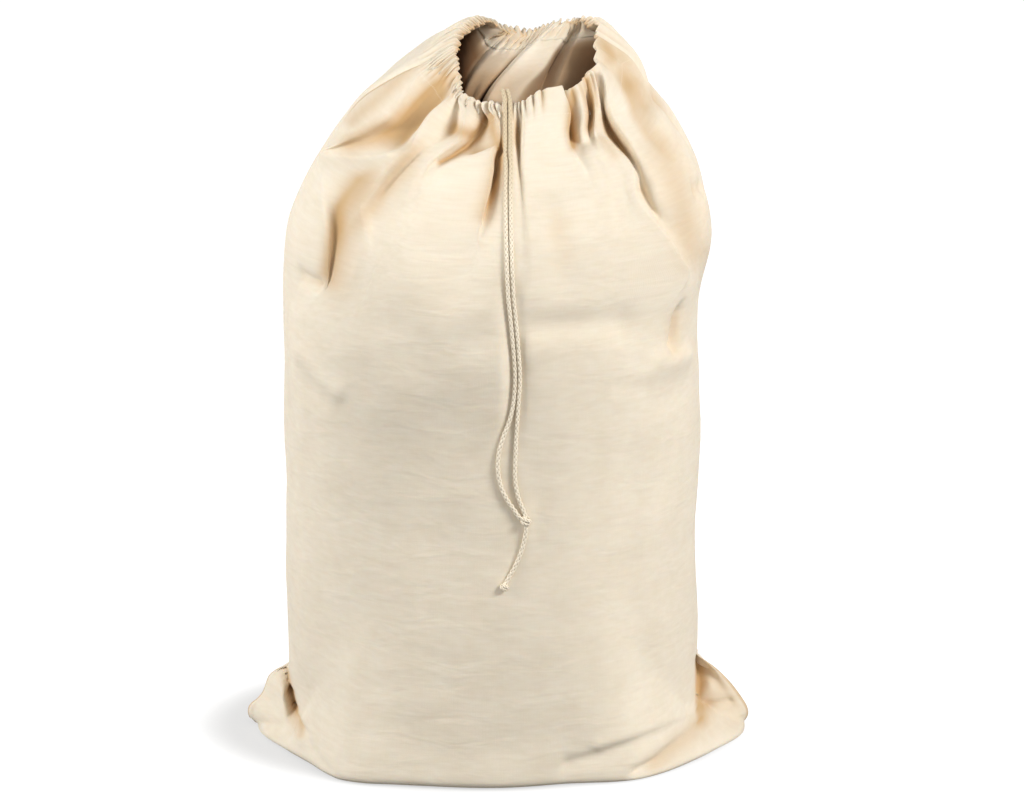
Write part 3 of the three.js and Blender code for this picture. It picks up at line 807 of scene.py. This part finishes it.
# Creases of the front: a line of places in the picture, how far back the cloth goes there, its width on the
# left of the line's direction and on the right, and how sharp it is.
SIGHT_CREASES = [
    ("left_ear_slit_top", [(284, 668), (287, 682), (289, 694)], 18, 3.5, 3, 2),
    ("left_ear_slit", [(289.5, 697), (293, 712)], 26, 4.5, 3.2, 2.2),
    ("left_ear_slit_foot", [(294, 715), (303, 733)], 18, 3.5, 3, 2),
    ("left_ear_lip", [(282.5, 692), (284.5, 718), (295, 730), (302, 737)], -5, 3.5, 7, 1.8),
    ("left_ear_foot", [(305, 737), (318, 757), (331, 776)], 3, 4, 5, 1.6),
    ("left_ear_tip", [(257, 700), (254, 712), (257, 726)], 3, 3, 3, 1.8),
    ("right_ear_groove", [(698, 664), (698.5, 690), (698.5, 717)], 27, 17, 3.6, 1.4),
    ("right_ear_ridge", [(699, 721), (704, 703), (711, 690)], -6, 4, 4, 1.8),
    ("right_ear_pinch", [(703, 713), (731, 702.5)], 5, 4, 4, 1.8),
    ("right_ear_valley", [(695, 729), (675, 746), (655, 763), (636, 774)], 11, 11, 5, 1.8),
    ("right_foot_crease", [(688, 719), (666, 728.5), (637, 741), (600, 754), (567, 763)], 4, 9, 4, 1.6),
    ("right_foot_ridge", [(690, 713), (666, 722), (637, 733), (600, 746)], -2.5, 5, 8, 1.8),
    ("left_swell", [(291, 334), (322, 344), (370, 350), (401, 344), (431, 328)], -9, 52, 84, 1.8),
    ("left_fold", [(299, 353), (318, 373), (337, 391)], -6, 8, 7, 1.8),
    ("left_fold_under", [(295, 360), (310, 381), (322, 398)], 1.5, 5, 7, 1.8),
    ("front_slump", [(533, 327), (547, 326), (582, 324), (618, 321)], 5, 14, 13, 1.9),
    ("front_swell", [(526, 352), (565, 350), (605, 348)], -3, 18, 80, 1.8),
    ("cord_pinch", [(516, 304), (514.5, 320), (519, 331)], 3.5, 5, 3, 1.8),
    ("hem_line", [(488, 116), (480, 130), (468, 146), (452, 157), (440, 163)], 4, 3, 3, 1.7),
    ("belly_shade", [(571, 139), (580, 147), (597, 139), (613, 147)], 7, 6, 3, 1.8),
    ("belly_lip", [(568, 148), (579, 158), (599, 150), (621, 162)], -4, 4, 14, 1.8),
    ("right_nick_ridge", [(645, 376), (684, 360)], -2, 7, 12, 1.8),
    ("small_nick", [(617, 386), (645, 388)], 2, 5, 6, 1.6),
    ("right_wrinkle", [(640, 425), (676, 404)], -1.5, 6, 9, 1.8),
    ("low_wrinkle", [(612, 470), (668, 452)], 1.2, 6, 9, 1.8),
    ("left_wrinkle", [(312, 470), (346, 464)], -1.5, 6, 9, 1.8),
]
# Hollows of the front that are given painted shade: a line of places in the picture, how much, and its
# two widths.
PAINTED_SHADE_PLACES = [
    ("brow", [(417, 60), (385, 92), (352, 121)], 0.5, 8, 8),
    ("under_brow", [(350, 143), (392, 124), (425, 96), (446, 76)], 0.7, 9, 11),
    ("left_dent", [(326, 272), (331, 240), (338, 208), (360, 180)], 0.8, 7, 19),
    ("under_sweep", [(345, 232), (372, 205), (398, 170), (412, 150)], 0.5, 10, 12),
    ("hem_line", [(490, 122), (480, 132), (468, 146), (452, 157), (440, 163)], 1, 2.6, 2.6),
    ("hem_hollow", [(456, 130), (478, 136), (490, 118), (493, 132), (499, 144)], 0.85, 7, 7),
    ("cord_valley", [(484, 215), (490, 192), (499, 158)], 0.6, 9, 9),
    ("flap_gap", [(572, 94), (569, 128), (573, 146)], 0.9, 4.5, 4.5),
    ("finger_gap", [(588, 80), (592, 104), (590, 126)], 0.85, 5, 5),
    ("right_pocket", [(604, 118), (613, 134), (624, 148)], 0.4, 7, 7),
    ("belly_dip", [(604, 140), (614, 154)], 0.35, 6, 6),
    ("right_corner", [(600, 26), (606, 44), (612, 58)], 0.75, 9, 9),
    ("right_face", [(618, 48), (630, 82)], 0.5, 12, 11),
    ("right_slope", [(662, 150), (680, 195), (694, 250)], 0.45, 16, 18),
    ("right_nick", [(674, 318), (674, 352)], 0.3, 8, 8),
    ("right_ear", [(703, 668), (702, 700), (700, 722)], 0.3, 12, 5),
    ("left_ear", [(287, 676), (292, 704), (301, 734)], 0.5, 4, 5),
    ("right_ear_face", [(722, 688), (736, 716)], 0.22, 14, 14),
    ("right_foot", [(700, 724), (690, 738), (655, 764)], 0.42, 9, 10),
]
PAINTED_SHADE_SHARPNESS = 1.8
CREASE_FLOOR = (5, 22)  # stations over which the creases all round begin
SIGHT_FLOOR = (2, 12)  # and those of the front
SIGHT_SEAM = (0.3, 2.5)  # degrees from a seam over which they begin


def line_profile(across, up, line, left_width, right_width, sharpness):
    """A crease along a line of places, 1 on it and less aside: exp(-(distance / width) ^ sharpness), with the
    distance to the nearest stretch of the line. Its two sides have their own widths."""
    best = np.full_like(across, 1e9)
    side = np.zeros_like(across)
    for (from_across, from_up), (to_across, to_up) in zip(line[:-1], line[1:]):
        run, rise = to_across - from_across, to_up - from_up
        near, above = across - from_across, up - from_up
        share = np.clip((near * run + above * rise) / (run**2 + rise**2), 0, 1)
        near, above = near - share * run, above - share * rise
        distance = np.hypot(near, above)
        closer = distance < best
        turned = (run * above - rise * near) / (np.hypot(run, rise) * (distance + 0.5))
        side = np.where(closer, turned, side)
        best = np.where(closer, distance, best)
    width = right_width + (left_width - right_width) * smooth(side, -0.6, 0.6)
    return np.exp(-((best / width) ** sharpness))


def creased(angle, station, radius):
    """How far the creases all round push the cloth out, with their distances measured across the cloth."""
    per_degree = np.radians(radius)
    out = np.zeros_like(angle)
    for _, line, depth, left_width, right_width, sharpness in CREASES:
        across = (np.mod(angle - line[0][0] + 180, 360) - 180) * per_degree
        places = [((place[0] - line[0][0]) * per_degree, place[1]) for place in line]
        out += depth * line_profile(across, station, places, left_width, right_width, sharpness)
    return out * smooth(station, *CREASE_FLOOR)


def pressed(points, stations, angles):
    """How far back the creases of the front press the cloth, and how much shade is painted there. A point is
    seen where the sight line from the camera through it meets the upright plane through the side seams."""
    reach = -EYE[1] / (points[..., 1] - EYE[1])
    across = EYE[0] + reach * (points[..., 0] - EYE[0])
    up = EYE[2] + reach * (points[..., 2] - EYE[2])
    back = np.zeros_like(across)
    for _, places, depth, left_width, right_width, sharpness in SIGHT_CREASES:
        line = [on_plane(*place, 0.0)[[0, 2]] for place in places]
        back += depth * line_profile(across, up, line, left_width, right_width, sharpness)
    painted_shade = np.zeros_like(across)
    for _, places, amount, left_width, right_width in PAINTED_SHADE_PLACES:
        line = [on_plane(*place, 0.0)[[0, 2]] for place in places]
        tan = line_profile(across, up, line, left_width, right_width, PAINTED_SHADE_SHARPNESS)
        painted_shade = np.maximum(painted_shade, amount * tan)
    inside_panel = np.minimum(angles - angles[0], angles[-1] - angles)
    return back * smooth(inside_panel, *SIGHT_SEAM) * smooth(stations, *SIGHT_FLOOR)[:, None], painted_shade


# The bottom is wider than the filling, so the spare cloth stands out at the side seams as ears. Each ear has
# an outline, heights and how far it reaches past the filling there, and a root, the degrees from the seam at
# which its face meets the filled wall. The foot is the bottom's own outline on the floor, by angle, and the
# heights to which it reaches up the wall.
FILLING = 195.5
EAR_OUTLINES = {
    "left": (
        [0, 3, 10.5, 18, 23, 30, 40, 47, 52, 56, 61, 90],
        [37, 40, 42, 40, 34, 28, 24, 21.5, 16, 7, 0, 0],
    ),
    "right": ([0, 8, 16, 25, 40, 54, 64, 70, 90], [50, 53, 51.5, 46, 34.5, 20.5, 7, 0, 0]),
}
EAR_ROOTS = {
    "left": ([0, 12, 30, 45, 56, 64], [27, 25, 18.5, 14, 9, 3]),
    "right": ([0, 12, 20, 40, 60, 70], [19, 15, 10, 7, 4, 2]),
}
FOOT_OUTLINE = (
    [180, 189, 204, 217, 228, 232, 238, 246, 256, 272, 288, 295, 301, 307, 315, 326, 337, 350, 360],
    [44, 38, 24, 22, 31, 34, 30, 19, 12, 10, 9, 15, 24, 31, 33, 34, 40, 55, 58],
)
FOOT_HEIGHTS = ([180, 204, 226, 250, 290, 314, 337, 350, 360], [12, 36, 140, 260, 260, 120, 44, 34, 26])
EDGE_SOFTNESS = 5
EAR_TOP = 90
FOOT_CURVE = 1.6
FOOT_ROUNDING = ([2, 3.5, 6, 11], [3.5, 1.6, 0.5, 0])  # the turn of the cloth onto the floor, by station


def soft_max(a, b, softness):
    """The larger of two values, rounded off where they are close."""
    closeness = np.clip(1 - np.abs(a - b) / softness, 0, None)
    return np.maximum(a, b) + closeness**2 * softness / 4


def ear_flare(angle, station):
    """How far the bottom reaches past the filling. An ear's face at each height is the straight line from its
    outline at the seam to its root on the filled wall, and the foot fades out with the height."""
    is_left = np.cos(np.radians(angle)) < 0
    low = np.clip(station, 0, EAR_TOP)[:, 0]
    outlines = [through(*EAR_OUTLINES[side], low)[:, None] for side in ("left", "right")]
    roots = [np.radians(np.interp(low, *EAR_ROOTS[side]))[:, None] for side in ("left", "right")]
    tip = FILLING + np.where(is_left, *outlines)
    root = np.where(is_left, *roots)
    turn = np.mod(angle, 180)
    seam_turn = np.radians(np.minimum(turn, 180 - turn))
    lean = (tip / FILLING - np.cos(root)) / np.sin(root)
    face = np.clip(tip / (np.cos(seam_turn) + lean * np.sin(seam_turn)) - FILLING, 0, None)
    face = np.where(seam_turn < root, face, 0)
    front = np.where(angle > 360, 720 - angle, angle)
    rise = np.clip(1 - station / np.interp(front, *FOOT_HEIGHTS), 0, None) ** FOOT_CURVE
    foot = through(*FOOT_OUTLINE, np.clip(front, 180, 360).ravel()).reshape(front.shape) * rise
    flared = soft_max(face, foot, EDGE_SOFTNESS)
    flared -= EDGE_SOFTNESS / 4 * (1 - smooth(np.maximum(face, foot), 0, EDGE_SOFTNESS))
    return flared - np.interp(station, *FOOT_ROUNDING)


# Slight unevenness of the cloth: the lengths of its waves, size and seed, and the stations over which it
# begins and ends.
RIPPLES = [
    ((45, 120), 0.5, 21, (5, 40), (660, 690)),
    ((120, 320), 0.9, 22, (5, 60), (600, 680)),
]
RIPPLE_WAVES = 24
RIPPLE_SPREAD = 3.5  # about how large their sum is


def ripples(thread, station, lengths, size, seed):
    """Slight unevenness of the cloth: the sum of many small sine waves in all directions across it."""
    random = np.random.default_rng(seed)
    girth = 2 * PANEL_WIDTH
    total = np.zeros_like(station)
    for _ in range(RIPPLE_WAVES):
        length = random.uniform(*lengths)
        heading = random.uniform(0, np.pi)
        round_waves = np.round(girth / length * np.cos(heading))
        phase = random.uniform(0, 2 * np.pi)
        up_waves = 2 * np.pi * np.sin(heading) / length
        total += np.sin(round_waves * np.radians(thread) + up_waves * station + phase)
    return size * total / RIPPLE_SPREAD


SEAM_GROOVE = 1.4
SEAM_GROOVE_WIDTH = 3.0
HOLLOW_DEPTHS = (3, 17)  # how far in the cloth of a fold lies where painted shade begins, and where it is whole
HOLLOW_FOOT = (430, 470)
HOLLOW_TOP = (684, 694)
HOLLOW_GAPS = 0.9
# How dark the inside of the neck is painted, as painted shade, by thread: the backs of its folds and the
# hollows between them. Then how much darker it is painted further down, and the stations over which this
# begins and ends.
INSIDE_SHADES = (
    [180, 358, 366, 374, 386, 389, 395, 397, 400, 403, 413, 424, 429, 433, 437, 444, 459, 463, 465, 540],
    [1, 0.9, 0.8, 0.85, 0.75, 0.3, 0.25, 0.6, 0.5, 0.05, 0, 0, 0.15, 0.25, 0.2, 0.2, 0.25, 0.6, 0.9, 1],
)
INSIDE_DEPTHS = ([398, 412, 424, 440, 466], [0.05, 0.3, 0.35, 0.6, 0.6])
INSIDE_DEPTH_TOP = (605, 660)
INSIDE_FOOT = (480, 540)
INSIDE_TOP = (660, 678)
INSIDE_GAPS = 0.5


def wall(threads, stations):
    """The outside of the wall: an ellipse at each station with ears, moved along the outward direction by the
    fold lines, creases and ripples, drawn in along the side seams, and moved level by the gathers. It also
    gives, 0 to 1, how much shade is painted on each place: outside by how deep in a fold it lies, and on the
    inside by how far back it lies."""
    angle, height, shift = neck_folds(threads, stations)
    thread, station = np.meshgrid(threads, stations)
    plain = plain_wall(angle, stations, ear_flare(angle, station))
    away = away_from(angle, stations)
    radius = through(SECTION_STATIONS, SECTIONS[:, 3:5].mean(axis=1), stations)[:, None]
    inwards, down, gap = gathers(threads, angle, station, radius)
    move = height + creased(angle, station, radius)
    for lengths, size, seed, begin, end in RIPPLES:
        ripple = ripples(thread, station, lengths, size, seed)
        move += ripple * smooth(station, *begin) * (1 - smooth(station, *end))
    from_seam = np.minimum(np.mod(thread, 180), 180 - np.mod(thread, 180)) * np.radians(1) * radius
    move -= SEAM_GROOVE * np.exp(-((from_seam / SEAM_GROOVE_WIDTH) ** 2)) * smooth(station, 0, 10)
    turn = np.radians(angle)
    level = np.stack([np.cos(turn), np.sin(turn), np.zeros_like(turn)], axis=-1)
    # Painted shade: the outside is painted warmer and darker the deeper a fold lies, and in the gaps of the
    # hem's loops.
    hollow = smooth(-move, *HOLLOW_DEPTHS) * smooth(station, *HOLLOW_FOOT)
    hollow = np.maximum(hollow * (1 - smooth(station, *HOLLOW_TOP)), HOLLOW_GAPS * gap)
    # Painted shade inside the neck: by thread, darker further down, and in the gaps between the hem's loops.
    deep = np.interp(thread, *INSIDE_DEPTHS) * (1 - smooth(station, *INSIDE_DEPTH_TOP))
    recess = np.clip(np.interp(thread, *INSIDE_SHADES) + deep, 0, 1) * smooth(station, *INSIDE_FOOT)
    recess = np.maximum(recess * (1 - smooth(station, *INSIDE_TOP)), INSIDE_GAPS * gap)
    moved = plain + away * move[..., None] - level * inwards[..., None] + shift
    moved[..., 2] -= down
    return moved, hollow, recess


# The mesh of a panel: columns across it by degrees, and rows up the wall by station, from, to and how many.
COLUMNS = [(0, 10, 28), (10, 30, 38), (30, 150, 168), (150, 170, 38), (170, 180, 28)]
BASE_ROWS = 6
WALL_ROWS = [(2, 90, 30), (90, 320, 12), (320, 400, 12), (400, 560, 30), (560, 672, 40), (672, 696, 12)]
BOTTOM_TAPER = 0.95  # how long the bottom seam is, of the foot's length
FLOOR_GAP = 0.2
PRESSED_SHADE = (8, 32)  # how far back the creases of the front get painted shade
HEM_ROWS = 7
HEM_FOLD = 4  # length of the cloth in the turn at the rim
HEM_CLOSE = 6  # below the rim, where the hem's two layers begin to come together
LAYER_GAP = 0.1
CORD_CLEARANCE = 0.3
CORD_BED_WIDTH = 8.0
CORD_BED_DEPTH = 12
CORD_BED_END = 4


def outward(points):
    """Outward directions of a grid, across its neighbours."""
    across = np.gradient(points, axis=1)
    up = np.gradient(points, axis=0)
    normal = np.cross(across, up)
    return normal / np.linalg.norm(normal, axis=-1, keepdims=True)


def under_cord(points):
    """Cloth close to a strand moves along Y to lie just under it, less and less with the distance aside."""
    seat = CORD_DIAMETER / 2 + CORD_CLEARANCE
    for path in (left_path, right_path):
        order = np.argsort(path[:, 2])
        level = np.clip(points[..., 2], path[:, 2].min(), path[:, 2].max())
        cord_x = np.interp(level, path[order, 2], path[order, 0])
        cord_y = np.interp(level, path[order, 2], path[order, 1])
        near = np.exp(-(((points[..., 0] - cord_x) / CORD_BED_WIDTH) ** 2)) * (points[..., 1] < 0)
        near = near * (points[..., 2] < path[:, 2].max()) * (points[..., 2] > path[:, 2].min() - CORD_BED_END)
        move = np.clip(cord_y + seat - points[..., 1], -CORD_BED_DEPTH, CORD_BED_DEPTH)
        points[..., 1] += near * move
    return points


wall_stations = np.concatenate([np.linspace(a, b, n, endpoint=False) for a, b, n in WALL_ROWS] + [[RIM]])


def panel_grid(start_angle, side):
    """One panel, from the bottom seam across its half of the flat bottom, up the wall and over into the hem:
    the points, their places on the flat cloth, and how much shade is painted on the cloth."""
    spans = [np.linspace(a, b, n, endpoint=False) for a, b, n in COLUMNS]
    angles = start_angle + np.concatenate(spans + [[180.0]])
    upright, hollow, recess = wall(angles, wall_stations)
    upright[:, [0, -1], 1] += side * SEAM_GAP / 2
    upright[..., 2] = np.maximum(upright[..., 2], FLOOR_GAP)
    if side < 0:
        back, painted_shade = pressed(upright, wall_stations, angles)
        upright[..., 1] += back
        hollow = np.clip(np.maximum(hollow, smooth(back, *PRESSED_SHADE)) + painted_shade, 0, 1)
        upright = under_cord(upright)
    edge = upright[0]
    share = np.linspace(0, 1, BASE_ROWS, endpoint=False)[:, None]
    length = BOTTOM_TAPER + (1 - BOTTOM_TAPER) * share
    from_seam = np.maximum(np.abs(edge[None, :, 1]) * share, SEAM_GAP / 2) * side
    bottom = np.stack([edge[None, :, 0] * length, from_seam, np.zeros_like(from_seam)], axis=-1)
    rows = wall_stations > RIM - HEM_HEIGHT
    inward = -outward(upright)
    lip = upright[-1] - upright[-2]
    lip /= np.linalg.norm(lip, axis=-1, keepdims=True)
    turn = np.linspace(0, np.pi, HEM_ROWS)[1:, None, None]
    fold = upright[-1] + HEM_RADIUS * (np.sin(turn) * lip + (1 - np.cos(turn)) * inward[-1])
    depths = [CANVAS_THICKNESS + LAYER_GAP, 2 * HEM_RADIUS]
    depth = np.interp(wall_stations[rows], [RIM - HEM_HEIGHT, RIM - HEM_CLOSE], depths)
    hem = (upright[rows] + depth[:, None, None] * inward[rows])[::-1][1:]
    points = np.concatenate([bottom, upright, fold, hem])
    height = np.concatenate(
        [
            (share[:, 0] - 1) * FILLING,
            wall_stations,
            RIM + HEM_RADIUS * turn[:, 0, 0],
            RIM + HEM_FOLD + (RIM - wall_stations[rows][::-1][1:]),
        ]
    )
    flat = np.meshgrid(np.radians(angles) * PANEL_WIDTH / np.pi, height)
    shades = {}
    for shade, values in (("hollow", hollow), ("recess", recess)):
        shades[shade] = np.zeros(points.shape[:2])
        shades[shade][len(bottom) : len(bottom) + len(upright)] = values
        shades[shade][len(bottom) + len(upright) : -len(hem)] = values[-1]
    shades["hollow"][-len(hem) :] = recess[rows][::-1][1:]
    return points, np.stack(flat, axis=-1) * MM, shades


CANVAS_LIGHT = (0.83, 0.74, 0.605, 1)
CANVAS_DARK = (0.76, 0.66, 0.515, 1)
CANVAS_FOLD_SHADE = (0.52, 0.31, 0.115, 1)  # painted warm shade deep in the folds
CANVAS_DEEP_SHADE = (0.20, 0.09, 0.03, 1)  # painted deep shade inside the neck
STITCH = (0.90, 0.84, 0.72, 1)
STITCH_PITCH = 0.0032
STITCH_SHARE = 0.72  # of the pitch
STITCH_WIDTH = 0.001
YARN_PITCH = 0.0009
# How finely the tone changes, per metre across the cloth and along it: the threads' thick and thin stretches,
# streaks of several threads, and wrinkles.
SLUB_SCALE = (900.0, 60.0, 1.0)
PICK_SCALE = (50.0, 900.0, 1.0)
STREAK_SCALE = (65.0, 210.0, 1.0)
WRINKLE_SCALE = (20.0, 58.0, 1.0)
MOTTLE_SCALE = 28.0
THREAD_HEIGHT = 0.0004
WRINKLE_HEIGHT = 0.003
SEAM_SHADE = (0.0025, 0.0004, 0.55)  # where the shade of a seam begins, is whole, and how dark it is


def canvas_material(name, shade, deep_colour, deepest, warmest):
    """Plain-weave canvas: the threads' backs, thicker and thinner threads, faint clouds of tone and wrinkles,
    the hem's line of stitches and the painted shade along the seams. An attribute says where shade is
    painted.
    It is first as warm as the painted shade of the folds, by the warmest share, and then as deep a colour, by
    the deepest."""
    canvas, canvas_shader, tree = fabric(name, 0.92, 0.05)
    canvas_shader.inputs["Subsurface Weight"].default_value = 0.15
    canvas_shader.inputs["Subsurface Radius"].default_value = (1.0, 0.5, 0.22)
    canvas_shader.inputs["Subsurface Scale"].default_value = 0.002
    cloth_map = tree.node("ShaderNodeUVMap", {"uv_map": "cloth"})
    width_along = tree.node("ShaderNodeSeparateXYZ", inputs={0: cloth_map}, output="X")
    length_along = tree.node("ShaderNodeSeparateXYZ", inputs={0: cloth_map}, output="Y")
    warp = tree.maths("COSINE", width_along * (math.pi / YARN_PITCH))
    weft = tree.maths("COSINE", length_along * (math.pi / YARN_PITCH))
    crossing = warp * weft
    warp_back = tree.maths("ABSOLUTE", warp) * (0.5 + crossing * 0.5)
    weft_back = tree.maths("ABSOLUTE", weft) * (0.5 - crossing * 0.5)
    weave = tree.maths("MAXIMUM", warp_back, weft_back)
    slub = clouds(tree, cloth_map, SLUB_SCALE, 2.0)
    pick = clouds(tree, cloth_map, PICK_SCALE, 2.0)
    mottle = clouds(tree, cloth_map, MOTTLE_SCALE, 4.0)
    streak = clouds(tree, cloth_map, STREAK_SCALE, 3.0)
    thread_tone = slub * 0.35 + pick * 0.35 + mottle * 1.3 + streak * 1.3 - 1.15
    canvas_colour = blended(tree, thread_tone, CANVAS_LIGHT, CANVAS_DARK)
    painted_shade = tree.node("ShaderNodeAttribute", {"attribute_name": shade}, output="Fac")
    warmed = risen(tree, painted_shade, 0.0, 0.4, warmest, form="LINEAR")
    canvas_colour = blended(tree, warmed, canvas_colour, CANVAS_FOLD_SHADE)
    canvas_colour = blended(tree, painted_shade * deepest, canvas_colour, deep_colour)
    from_seam = tree.maths("PINGPONG", width_along, PANEL_WIDTH * MM / 2)
    seam_shade = risen(tree, from_seam, *SEAM_SHADE)
    canvas_colour = blended(tree, seam_shade, canvas_colour, CANVAS_FOLD_SHADE)
    from_stitches = tree.maths("ABSOLUTE", length_along - (RIM - HEM_HEIGHT) * MM)
    in_row = tree.maths("LESS_THAN", from_stitches, STITCH_WIDTH / 2)
    in_stitch = tree.maths("LESS_THAN", tree.maths("FRACT", width_along / STITCH_PITCH), STITCH_SHARE)
    stitched = in_row * in_stitch
    canvas_colour = blended(tree, stitched * 0.15, canvas_colour, STITCH)
    canvas.node_tree.links.new(canvas_colour.socket, canvas_shader.inputs["Base Color"])
    wrinkle = clouds(tree, cloth_map, WRINKLE_SCALE, 2.0, 0.5)
    wrinkle_bump = tree.node(
        "ShaderNodeBump", inputs={"Strength": 0.32, "Distance": WRINKLE_HEIGHT, "Height": wrinkle}
    )
    canvas_height = weave * 0.5 + slub * 0.4 + pick * 0.4 + streak * 0.4 + stitched * 0.5
    canvas_bump = tree.node(
        "ShaderNodeBump",
        inputs={"Strength": 0.35, "Distance": THREAD_HEIGHT, "Height": canvas_height, "Normal": wrinkle_bump},
    )
    canvas.node_tree.links.new(canvas_bump.socket, canvas_shader.inputs["Normal"])
    return canvas


# The outside is painted with warm shade in its folds, and the inside with deeper shade down in the neck.
canvas_outside = canvas_material("natural_canvas", "hollow", CANVAS_FOLD_SHADE, 0.85, 0.0)
canvas_inside = canvas_material("natural_canvas_inside", "recess", CANVAS_DEEP_SHADE, 1.0, 0.6)

for name, node, start_angle, side in (
    ("bag_front", "front_panel", 180, -1),
    ("bag_back", "back_panel", 360, 1),
):
    points, uv, shades = panel_grid(start_angle, side)
    panel = grid_object(name, points, uv=uv, marks=shades)
    panel.data.materials.append(canvas_outside)
    panel.data.materials.append(canvas_inside)
    thickness = panel.modifiers.new("canvas", "SOLIDIFY")
    thickness.thickness = CANVAS_THICKNESS * MM
    thickness.offset = -1
    thickness.material_offset = 1
    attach(panel, "root")
    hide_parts(node)

# The floor is a wide plain white sheet, evenly lit, with a painted shadow that makes it a little darker close
# to the bag. The light is a large soft lamp from the right in front, a weaker one from the left, and a white
# room all round.
FLOOR_RADIUS = 14.0
FLOOR_GREY = (0.25, 0.25, 0.25, 1)
FLOOR_GLOW = 0.92
SHADE_SHIFT = (0.025, 0.0, 0.0)  # to the left
SHADE_STRETCH = (1.0, 1.22, 1.0)
SHADE_REACH = (0.225, 0.29)  # from its middle, over which the floor gets light
SHADE_LEAST = 0.6
BLACK = (0.0, 0.0, 0.0, 1)
WHITE = (1.0, 1.0, 1.0, 1)
turn = np.linspace(0, 2 * np.pi, 64, endpoint=False)
reach = np.array([0.002, 0.5, 2.0, FLOOR_RADIUS])
disc = np.stack(
    [reach[:, None] * np.cos(turn), reach[:, None] * np.sin(turn), np.zeros((len(reach), len(turn)))], axis=-1
)
floor = grid_object("floor", disc[:, ::-1] / MM, closed=True)
paper, paper_shader, tree = fabric("white_paper", 0.9, 0.0)
paper_shader.inputs["Base Color"].default_value = FLOOR_GREY
paper_shader.inputs["Emission Strength"].default_value = FLOOR_GLOW
floor_place = tree.node("ShaderNodeTexCoord", output="Object")
around_bag = tree.node(
    "ShaderNodeMapping", inputs={"Vector": floor_place, "Location": SHADE_SHIFT, "Scale": SHADE_STRETCH}
)
from_bag = tree.node("ShaderNodeVectorMath", {"operation": "LENGTH"}, {0: around_bag}, output="Value")
lit_share = risen(tree, from_bag, *SHADE_REACH, 1.0, SHADE_LEAST)
floor_glow = blended(tree, lit_share, BLACK, WHITE)
paper.node_tree.links.new(floor_glow.socket, paper_shader.inputs["Emission Color"])
floor.data.materials.append(paper)
floor.visible_diffuse = False

# Name, place, aim, size, power and colour.
LAMPS = [
    ("key", (2.02, -1.52, 1.9), (0.0, 0.0, 0.4), 1.0, 63.0, (1.0, 0.99, 0.98)),
    ("fill", (-2.15, -0.6, 1.5), (0.0, 0.0, 0.4), 1.2, 40.0, (1.0, 1.0, 1.0)),
]
for name, place, aim, size, power, colour in LAMPS:
    lamp_data = bpy.data.lights.new(name, "AREA")
    lamp_data.shape = "DISK"
    lamp_data.size = size
    lamp_data.energy = power
    lamp_data.color = colour
    lamp = bpy.data.objects.new(name, lamp_data)
    lamp.location = place
    lamp.rotation_euler = (Vector(aim) - Vector(place)).to_track_quat("-Z", "Y").to_euler()
    bpy.context.collection.objects.link(lamp)

SKY = [(0.0, 0.15), (0.3, 0.4), (0.5, 1.0), (0.9, 0.52)]  # brightness from straight down to straight up
SKY_STRENGTH = 0.76
world = bpy.data.worlds.new("studio")
world.use_nodes = True
tree = Socket(world.node_tree)
heading = tree.node("ShaderNodeTexCoord", output="Generated")
upward = tree.node("ShaderNodeSeparateXYZ", inputs={0: heading}, output="Z")
sky = tree.node(
    "ShaderNodeValToRGB",
    {"stops": [(place, (grey, grey, grey, 1)) for place, grey in SKY]},
    {"Fac": upward * 0.5 + 0.5},
)
world.node_tree.links.new(sky.socket, world.node_tree.nodes["Background"].inputs["Color"])
world.node_tree.nodes["Background"].inputs["Strength"].default_value = SKY_STRENGTH
bpy.context.scene.world = world
bpy.context.scene.view_settings.view_transform = "Standard"
